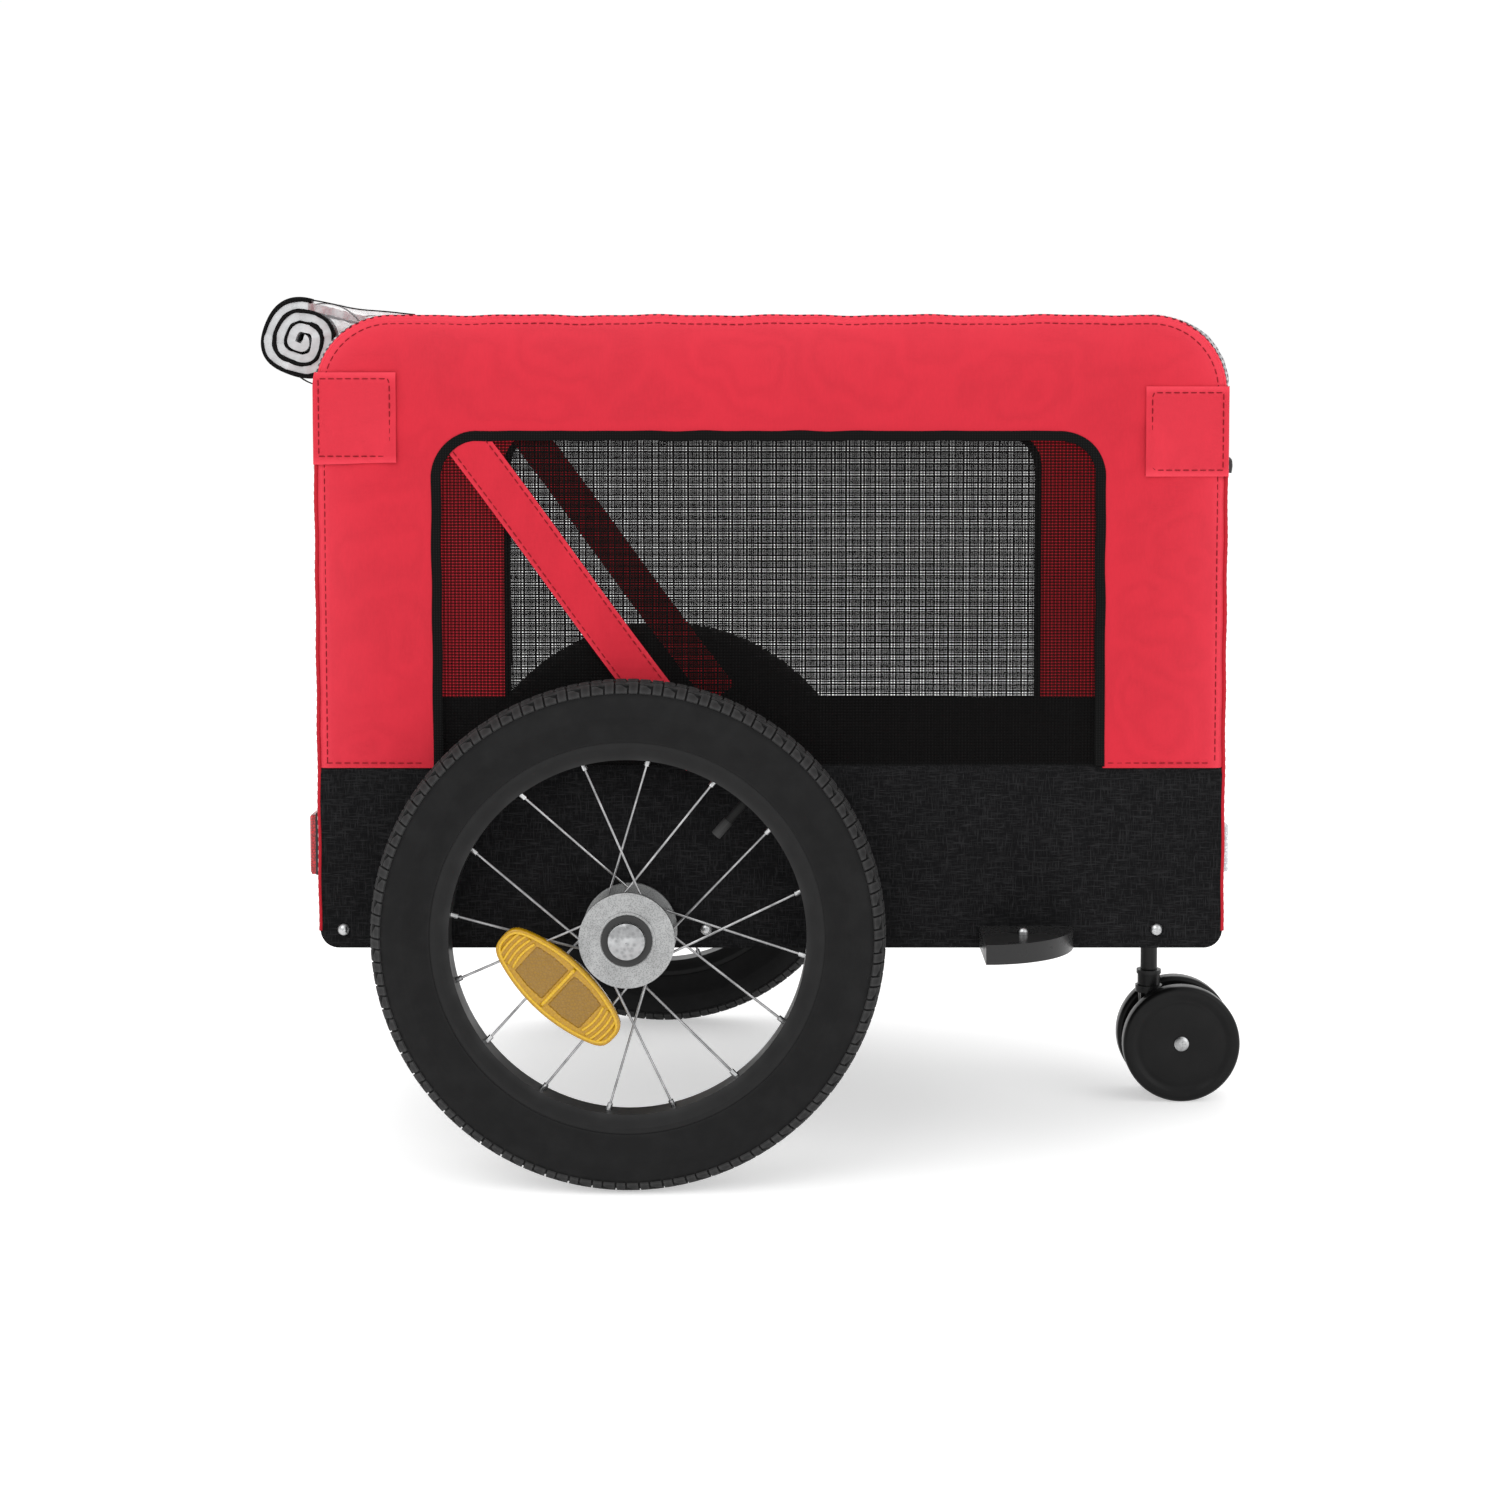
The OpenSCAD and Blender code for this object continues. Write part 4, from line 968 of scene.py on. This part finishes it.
def cover_flap():
    """The film between the roof's seam and the top of the roll, with its taped edges."""
    half = ROLL_HIGH.y - 1 * MM
    start = polar(ROLL_C, roll_radius(0.0), ROLL_START) + [1 * MM, 0.4 * MM]
    end = np.array([ROLL_HIGH.x + 2 * MM, TOP + 1.2 * MM])
    t, y = np.linspace(0, 1, 40)[:, None], np.linspace(-half, half, 60)[None]
    x = start[0] + (end[0] - start[0]) * t
    sag = 1.6 * MM * np.sin(t * math.pi) * (1 + 0.6 * waves(x, y, 60 * MM, 111))
    z = start[1] + (end[1] - start[1]) * t - sag
    flap = sheet("cover_flap_film", space(x, y, z), film, FILM)
    soft(flap, "clear_film", "rolled_cover")
    for name, side in SIDES.items():
        cord = sweep(f"cover_flap_edge_{name}", space(x[:, 0], side * half, z[:, 0] + 0.3 * MM),
                     round_profile(0.55 * MM), (0, side, 0), black_thread)
        place(cord, "chassis", "black_binding", "rolled_cover")
        # The cheek is loose film that closes the gap between the flap, the roll and the roof's corner.
        foot = polar((CORNER_R - HALF_L, SHOULDER), CORNER_R + 0.8 * MM, np.radians(np.linspace(92, 150, 24)))
        head = start + (end - start) * np.linspace(1, 0, 24)[:, None]
        points = loft(head, foot, np.linspace(0, 1, 12))
        slack = 2.2 * MM * np.abs(waves(points[..., 0], points[..., 1], 22 * MM, 115))
        cheek = sheet(f"cover_cheek_{name}", on_side(points, side * (half - 1 * MM - slack)), film, FILM)
        soft(cheek, "clear_film", "rolled_cover")


def cover_tie(name, y):
    """A flat tie that runs round the roll and back to the rear cloth."""
    a = turns(90)
    loop = polar(ROLL_C, roll_radius(a * 0.12) + 1.9 * MM, ROLL_START + a)
    tape(f"cover_tie_loop_{name}", on_side(loop, y), 7 * MM, 0.8 * MM, on_side(outward(loop), 0),
         "cover_ties", closed=True)
    head, foot = ROLL_C - [3 * MM, ROLL_R + 1 * MM], np.array([-HALF_L - 0.4 * MM, 627 * MM])
    t = np.linspace(0, 1, 24)[:, None]
    tail = head * (1 - t) + foot * t
    tail[:, 1] -= 1.6 * MM * np.sin(t[:, 0] * math.pi)
    tape(f"cover_tie_tail_{name}", on_side(tail, y), 5 * MM, 1.2 * MM, (0.4, 0, 1), "cover_ties")


def front_band():
    """The fixed band of the front's clear cover, from its seam on the roof down over the corner."""
    stand = 0.7 * MM
    bend = polar((HALF_L - CORNER_R, SHOULDER), CORNER_R + stand, np.radians(np.linspace(90, 0, 30)))
    profile = np.vstack([line((BAND_SEAM, TOP + stand), bend[0], 6), bend])
    x, z = profile[:, :1], profile[:, 1:]
    y = np.linspace(-HALF_W + 0.5 * MM, HALF_W - 0.5 * MM, 80)[None]
    puff = 0.5 * MM * np.abs(waves(y, z + x, 70 * MM, 121))
    soft(sheet("front_cover_band_film", space(x + puff * 0.7, y, z + puff * 0.5), film, FILM),
         "clear_film", "front_cover_band")


def front_flap():
    """The clear flap that hangs from the band, with its taped edge."""
    half = FLAP_HIGH.y
    z = np.linspace(FLAP_LOW.z, FLAP_HIGH.z, 60)[:, None]
    t = np.linspace(-1, 1, 60)[None]
    y = (half - corner_inset(z - FLAP_LOW.z, FLAP_R)) * t
    rim = fade(1 - np.abs(t), 0, 0.2) * fade(FLAP_HIGH.z - z, 0, 50 * MM) * fade(z - FLAP_LOW.z, 0, 60 * MM)
    x = FLAP_LOW.x + FILM / 2 + 0.2 * MM + 1.2 * MM * rim * (0.6 + 0.6 * waves(y, z, 110 * MM, 123))
    hinge_blend(soft(sheet("front_flap_film", space(x, y, z), film, FILM), "clear_film", "front_flap",
                     body=None))
    edge = hanging_u(half - 5 * MM, FLAP_LOW.z + 5 * MM, FLAP_HIGH.z - 1 * MM, FLAP_R - 5 * MM)
    path = on_end(spaced(edge, 3 * MM), FLAP_LOW.x + 0.9 * MM)
    hinge_blend(tape("front_flap_tape", path, 10 * MM, 1.3 * MM, (1, 0, 0), "front_flap", body=None))


def hinge_blend(piece):
    """Bakes the piece's transform into its mesh."""
    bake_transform(piece)


# ---------- zipper ----------

ZIP_OUT = 6 * MM
TOOTH_PITCH = 2.6 * MM
# The slider's [y, z] outline as shares of its half size, and its layers as (height in mm, share)
SLIDER_OUTLINE = ((-0.55, -1), (0.55, -1), (0.7, 0), (1, 0.75), (0.6, 1), (0, 0.8), (-0.6, 1),
                  (-1, 0.75), (-0.7, 0))
SLIDER_LAYERS = ((1.5, 0.84), (1.9, 1.0), (2.9, 1.0), (3.3, 0.84))
# Where the pull hangs, as (out from the cabin, up from the slider's middle) in mm
PULL_ROUTE = ((3.2, 3), (6, 3.4), (9, 1), (9.4, -3), (8.6, -9))


def zipper():
    """The zipper round the flap: tape and teeth on the cabin, and the slider and its pull on them."""
    outline = hanging_u(FLAP_HIGH.y + ZIP_OUT, FLAP_LOW.z - ZIP_OUT, SHOULDER - 4 * MM, FLAP_R + ZIP_OUT)
    outline = spaced(outline, TOOTH_PITCH)
    tape("zipper_tape", on_end(outline, HALF_L + 0.5 * MM), 11 * MM, 0.9 * MM, (1, 0, 0),
         material=black_cloth)
    teeth = stitches("zipper_teeth", [(on_end(outline, HALF_L + 1.2 * MM), (1, 0, 0))], soft_black,
                     1.7 * MM, 0.9 * MM, 1.1 * MM)
    place(teeth, "chassis", "black_plastic")
    low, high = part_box("zipper_slider")
    middle, half = (low + high) / 2, (high - low) / 2
    verts = [(HALF_L + x * MM, middle.y + y * half.y * s, middle.z + z * half.z * s)
             for x, s in SLIDER_LAYERS for y, z in SLIDER_OUTLINE]
    faces = tube_faces(len(SLIDER_LAYERS), len(SLIDER_OUTLINE))
    slider = solid("slider_body", verts, faces, frame_black, smooth=False)
    place(slider, "slider", "black_plastic", "zipper_slider")
    hang = np.array([(HALF_L + x * MM, middle.y, middle.z + z * MM) for x, z in PULL_ROUTE])
    pull = sweep("slider_pull", spaced(hang, 1 * MM), tape_profile(4.2 * MM, 1.1 * MM), (0, 1, 0.001),
                 frame_black)
    place(pull, "slider", "black_plastic", "zipper_slider")


# ---------- tyres, castor wheels ----------

# Tread pads for one pitch: (from, to) along the pitch, (from, to) round the section in degrees, cut corner
TREAD_PADS = (
    ((0.02, 0.38), (21, 52), 0.0),
    ((0.38, 0.95), (21, 29), 0.0),
    ((0.46, 0.93), (32, 52), 0.35),
    ((0.06, 0.46), (2, 17), 0.2),
    ((0.54, 0.94), (5, 18), 0.2),
)
PAD_GRID = (4, 5)
PAD_RIM, PAD_FACES = skirted(*PAD_GRID)


def casing_point(centre, side, turn, section, height):
    """A place on the tyre: turn round the axle and section round the casing, both in radians."""
    r = CASING_R - TREAD + height
    radius = CASING_C + r * np.cos(section)
    return space(centre[0] + radius * np.cos(turn), centre[1] + side * r * np.sin(section),
                 centre[2] + radius * np.sin(turn))


def tread_pad(centre, side, start, pad):
    """One raised block of rubber, with a top that follows the casing and walls down to it."""
    (t0, t1), (s0, s1), cut = pad
    u, v = np.meshgrid(np.linspace(0, 1, PAD_GRID[0]), np.linspace(0, 1, PAD_GRID[1]), indexing="ij")
    corner = np.clip(1 - u * 2, 0, 1) * np.clip(1 - v * 2, 0, 1)
    u, v = u + cut * corner, v + cut * 0.6 * corner
    turn = (start + 2 * math.pi / TREAD_PAIRS * (t0 + (t1 - t0) * u)).ravel()
    section = np.radians(s0 + (s1 - s0) * v).ravel()
    return np.vstack([casing_point(centre, side, turn, section, TREAD),
                      casing_point(centre, side, turn[PAD_RIM], section[PAD_RIM], -0.6 * MM)])


def tyre(side_name, side):
    """The casing with its moulded ribs and bead, and the tread's separate blocks."""
    name, body = "tyre_" + side_name, "wheel_" + side_name
    centre = (AXLE.x, side * AXLE.y, AXLE.z)
    a = np.radians(np.linspace(-118, 118, 72))
    r = CASING_R - TREAD
    at = np.abs(np.degrees(a))
    rib = 0.5 * MM * (np.exp(-((at - 63) / 1.6) ** 2) + np.exp(-((at - 100) / 2.2) ** 2))
    wall = polar((CASING_C, 0), r + rib, a)
    rim_line, lip = RIM_R + 0.6 * MM, RIM_R - 4.2 * MM
    foot = np.array([(rim_line + 3 * MM, 17.6 * MM), (rim_line, 16.8 * MM), (lip + 1.2 * MM, 16.6 * MM),
                     (lip, 15.9 * MM), (lip + 0.1 * MM, 15.12 * MM), (rim_line - 0.2 * MM, 15.1 * MM),
                     (rim_line - 0.2 * MM, 13 * MM), (RIM_R - 1 * MM, 12.8 * MM),
                     (RIM_R - 6 * MM, 11.8 * MM)])
    inner = polar((CASING_C, 0), r - 4 * MM, np.radians(np.linspace(110, -110, 30)))
    profile = np.vstack([wall, foot, inner, (foot * [1, -1])[::-1]])
    place(lathe(name + "_casing", profile, centre, tyre_rubber, 180), body, "tyre_rubber", name)
    pitch = 2 * math.pi / TREAD_PAIRS
    blocks = [tread_pad(centre, hand, (k + (0 if hand == side else 0.5)) * pitch, pad)
              for k in range(TREAD_PAIRS) for hand in (1, -1) for pad in TREAD_PADS]
    faces = [[i + k * len(blocks[0]) for i in face] for k in range(len(blocks)) for face in PAD_FACES]
    # The blocks' lighter rubber leaves the grooves in painted shade.
    tread = solid("tread_" + side_name, np.vstack(blocks), faces, tread_rubber, smooth=False)
    place(tread, body, "tyre_rubber", name)


def castor_wheel(side_name, side):
    """A moulded disc with a rounded tread, a stepped face and a hollow back."""
    name = "castor_wheel_" + side_name
    low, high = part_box(name)
    centre = ((low.x + high.x) / 2, 0, (low.z + high.z) / 2)
    # The profile is drawn in mm: the disc lies between near and far from the middle of the trailer.
    r = (high.z - low.z) / 2 / MM
    near, far, round_r, hole = 13, 30, 4, 4.3
    a = np.radians(np.linspace(-90, 90, 14))
    outer = polar((r - round_r, np.where(a < 0, near + round_r, far - round_r)), round_r, a)
    face = [(r - 7, far), (r - 9, far - 0.5), (r - 11.5, far - 2.2), (r - 13.5, far - 2.6),
            (r - 15, far - 2.2), (r - 17, far - 2.0), (24, far - 2.5), (9, far - 3), (7.6, far - 3.3),
            (hole, far - 3.5)]
    back = [(hole, near), (11, near), (11.5, near + 5), (r - 13, near + 5), (r - 12, near + 0.4),
            (r - 8, near)]
    profile = np.vstack([outer, face, back]) * [MM, side * MM]
    disc = lathe(name + "_disc", profile, centre, castor_black)
    place(disc, "castor_roller_" + side_name, "black_plastic", name)


# ---------- reflectors ----------

REFLECTOR_TURN = math.radians(43)
# Steps of the plate's rim in mm: (inset from the edge, depth below the outer face)
PLATE_STEPS = ((6, 9.0), (0.6, 9.0), (0, 8.0), (0, 1.2), (0.7, 0.2), (2.2, 0.0), (3.2, 0.4),
               (3.8, 1.5), (6, 1.7))
PANEL_POINTS = 17
PANEL_HALF = 16.5 * MM
PANEL_MIDDLE = 18.6 * MM
END_RIBS = (38.5, 43, 47.5, 52)


def reflector_outline(inset, n=120):
    """Points of the spoke reflector's edge: rounded ends between two shallow arcs."""
    a = turns(n)
    arc_r, arc_c = 140 * MM - inset, 116 * MM
    s = np.abs(np.sin(a))
    r = -arc_c * s + np.sqrt((arc_c * s) ** 2 + arc_r ** 2 - arc_c ** 2)
    r = np.minimum(r, 59 * MM - inset)
    for _ in range(3):
        r = (np.roll(r, 1) + 2 * r + np.roll(r, -1)) / 4
    return polar((0, 0), r, a)


def reflector_plate(name, stand):
    rings = np.stack([stand(reflector_outline(inset * MM), depth * MM) for inset, depth in PLATE_STEPS])
    return solid(name + "_plate", rings, tube_faces(*rings.shape[:2]), amber)


def reflector_prisms(name, stand):
    """Two fields of small prisms, each with a sunk border, in amber painted darker as painted shade."""
    u, v = np.meshgrid(*[np.linspace(-1, 1, PANEL_POINTS)] * 2, indexing="ij")
    odd = np.add.outer(np.arange(PANEL_POINTS), np.arange(PANEL_POINTS)) % 2 * 0.3 * MM
    depth = np.where(np.maximum(np.abs(u), np.abs(v)) > 0.99, 2.4 * MM, 1.0 * MM - odd)
    panels = []
    for end in (-1, 1):
        squash = 1 - 0.18 * np.clip(u * end, 0, 1)
        local = np.stack([end * PANEL_MIDDLE + u * PANEL_HALF, v * PANEL_HALF * squash], -1)
        panels.append(stand(local, depth).reshape(-1, 3))
    one = quads(PANEL_POINTS, PANEL_POINTS)
    faces = np.vstack([one, one + PANEL_POINTS ** 2])
    prisms = add_mesh(name + "_panels", np.vstack(panels), faces, amber_prism_shade, smooth=False)
    thicken(prisms, 0.8 * MM)
    return prisms


def reflector_ribs(name, stand, side):
    """A thicker rib across the middle, curved ones at both ends, and one along the rim, all in amber painted
    lighter as a painted highlight.
    """
    u = np.linspace(-1, 1, 24)
    ribs = [np.outer(u, (0, 19 * MM))]
    for end in (-1, 1):
        for r in END_RIBS:
            ribs.append(polar((0, 0), r * MM, math.radians(19 - (r - 38) * 0.35) * u) * [end, 1])
    ribs.append(reflector_outline(2.6 * MM))
    pieces = []
    for index, rib in enumerate(ribs):
        closed = index == len(ribs) - 1
        path = stand(rib, (0.5 if closed else 1.3) * MM)
        profile = round_profile(1.1 * MM if index else 1.5 * MM)
        pieces.append(sweep(f"{name}_rib_{index}", path, profile, (0, side, 0), amber_rib_highlight, closed))
    return pieces


def spoke_reflector(side_name, side):
    """An amber plate with two prism fields in painted shade and ribs with a painted highlight, across the
    wheel's spokes.
    """
    name = "reflector_" + side_name
    low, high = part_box(name)
    centre = (low + high) / 2
    outer_y = high.y if side > 0 else low.y

    def stand(points, depth):
        """Local [along, across] points at a depth below the outer face, on the wheel."""
        c, s = math.cos(REFLECTOR_TURN), math.sin(REFLECTOR_TURN)
        along, across = points[..., 0], points[..., 1]
        y = outer_y - side * depth
        return space(centre.x + along * c + across * s, y, centre.z - along * s + across * c)

    pieces = [reflector_plate(name, stand), reflector_prisms(name, stand), *reflector_ribs(name, stand, side)]
    for piece in pieces:
        place(piece, "wheel_" + side_name, "amber_lens", name)


LENS_GRID = (21, 27)
LENS_WIDE = 38 * MM


def cabin_lens(end_name, end, side_name, side, material, slot):
    """A moulded lens: a plain rim round a field of small prisms."""
    node_name = end_name + "_lenses"
    low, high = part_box(node_name)
    y0, y1 = high.y - LENS_WIDE, high.y
    face_x, back_x = (high.x, low.x) if end > 0 else (low.x, high.x)
    n, m = LENS_GRID
    y, z = np.meshgrid(np.linspace(y0, y1, n), np.linspace(low.z, high.z, m), indexing="ij")
    rim = np.minimum(np.minimum(y - y0, y1 - y), np.minimum(z - low.z, high.z - z))
    tooth = np.add.outer(np.arange(n), np.arange(m)) % 2
    prism = 0.5 * MM + 1.1 * MM * tooth
    depth = np.where(rim < 0.1 * MM, 1.6 * MM, np.where(rim < 2.4 * MM, 0.2 * MM, prism))
    front = space(face_x - end * depth, side * y, z).reshape(-1, 3)
    border, faces = skirted(n, m)
    back = front[border] * [0, 1, 1] + [back_x, 0, 0]
    piece = solid(f"{end_name}_lens_{side_name}", np.vstack([front, back]), faces, material, smooth=False)
    place(piece, "chassis", slot, node_name)


# ---------- build ----------

for side_name, side in SIDES.items():
    side_cloth(side_name, side)
    lower_cloth(side_name, side)
    window_net(side_name, side)
    window_binding(side_name, side)
    side_stitching(side)
    window_strap(side_name, side)
    for end_name, end in ENDS.items():
        corner_tab(end_name, end, side_name, side)
        corner_welt(end_name, end, side_name, side)
        seam_lip(end_name, end, side_name, side)
    tyre(side_name, side)
    castor_wheel(side_name, side)
    spoke_reflector(side_name, side)
    cabin_lens("rear", -1, side_name, side, ruby, "red_lens")
    cabin_lens("front", 1, side_name, side, crystal, "clear_lens")
    cover_tie(side_name, side * 120 * MM)
for end_name, end in ENDS.items():
    end_cloth(end_name, end)
roof_cloth()
belly_cloth()
door_net()
door_binding("front", HALF_L - 0.6 * MM)
door_binding("rear", -HALF_L - 0.3 * MM)
rolled_cover()
cover_flap()
front_band()
front_flap()
zipper()
# Each kind of stitching: material and slot, then length, gap and radius where they aren't the usual ones
THREADS = {
    "red": (red_thread, "red_cloth"),
    "silhouette": (dark_thread, "red_cloth", 3.0 * MM, 3.2 * MM, 0.6 * MM),
    "black": (black_thread, "black_cloth"),
    "lip": (grey_thread, "black_binding", 2.6 * MM, 1.9 * MM, 0.34 * MM),
    "welt": (white_thread, "red_cloth", 3.4 * MM, 3.4 * MM, 0.45 * MM),
}
for row_name, (thread, slot, *dash) in THREADS.items():
    place(stitches(row_name + "_stitching", stitch_rows[row_name], thread, *dash), "chassis", slot)


# ---------- camera, light, floor ----------

LAMPS = {  # place, size and power
    "key": ((-1.6, -3.2, 3.4), 3.0, 60),
    "fill": ((3.0, -2.2, 1.8), 2.5, 25),
    "back": ((0.4, 3.2, 2.6), 3.0, 30),
}
FLOOR_REACH = 30.0
CAMERA_PLACE = (14.2 * MM, -2.250, 0.603)
CAMERA_TILT = math.radians(3.5)
CAMERA_LENS, CAMERA_SENSOR = 60.67, 36
CAMERA_SHIFT = (-0.026, -0.217)


def studio():
    scene = bpy.context.scene
    scene.view_settings.view_transform = "Standard"
    scene.world = bpy.data.worlds.new("studio")
    scene.world.use_nodes = True
    sky = scene.world.node_tree.nodes["Background"].inputs
    sky["Color"].default_value = (1, 1, 1, 1)
    sky["Strength"].default_value = 1.02
    for name, (spot, size, power) in LAMPS.items():
        light = bpy.data.lights.new(name, "AREA")
        light.size = size
        light.energy = power
        lamp = bpy.data.objects.new(name, light)
        scene.collection.objects.link(lamp)
        lamp.location = spot
        lamp.rotation_euler = (Vector((0, 0, 0.35)) - lamp.location).to_track_quat("-Z", "Y").to_euler()
    paint = new_material("pale_floor", (0.8, 0.8, 0.8), 0.9, specular=0.1)
    feed(paint, Base_Color=mix(grain(paint, 2), (0.78, 0.78, 0.78), (0.82, 0.82, 0.82)),
         Emission_Color=(1, 1, 1, 1), Emission_Strength=0.45)
    r = FLOOR_REACH
    add_mesh("floor", [(-r, -r, 0), (r, -r, 0), (r, r, 0), (-r, r, 0)], [(0, 1, 2, 3)], paint)


def camera():
    data = bpy.data.cameras.new("camera")
    data.lens = CAMERA_LENS
    data.sensor_width = CAMERA_SENSOR
    data.shift_x = CAMERA_SHIFT[0]
    data.shift_y = CAMERA_SHIFT[1] + math.tan(CAMERA_TILT) * data.lens / data.sensor_width
    data.clip_end = 100
    obj = bpy.data.objects.new("camera", data)
    bpy.context.scene.collection.objects.link(obj)
    obj.location = CAMERA_PLACE
    obj.rotation_euler = (math.pi / 2 - CAMERA_TILT, 0, 0)
    bpy.context.scene.camera = obj


studio()
camera()
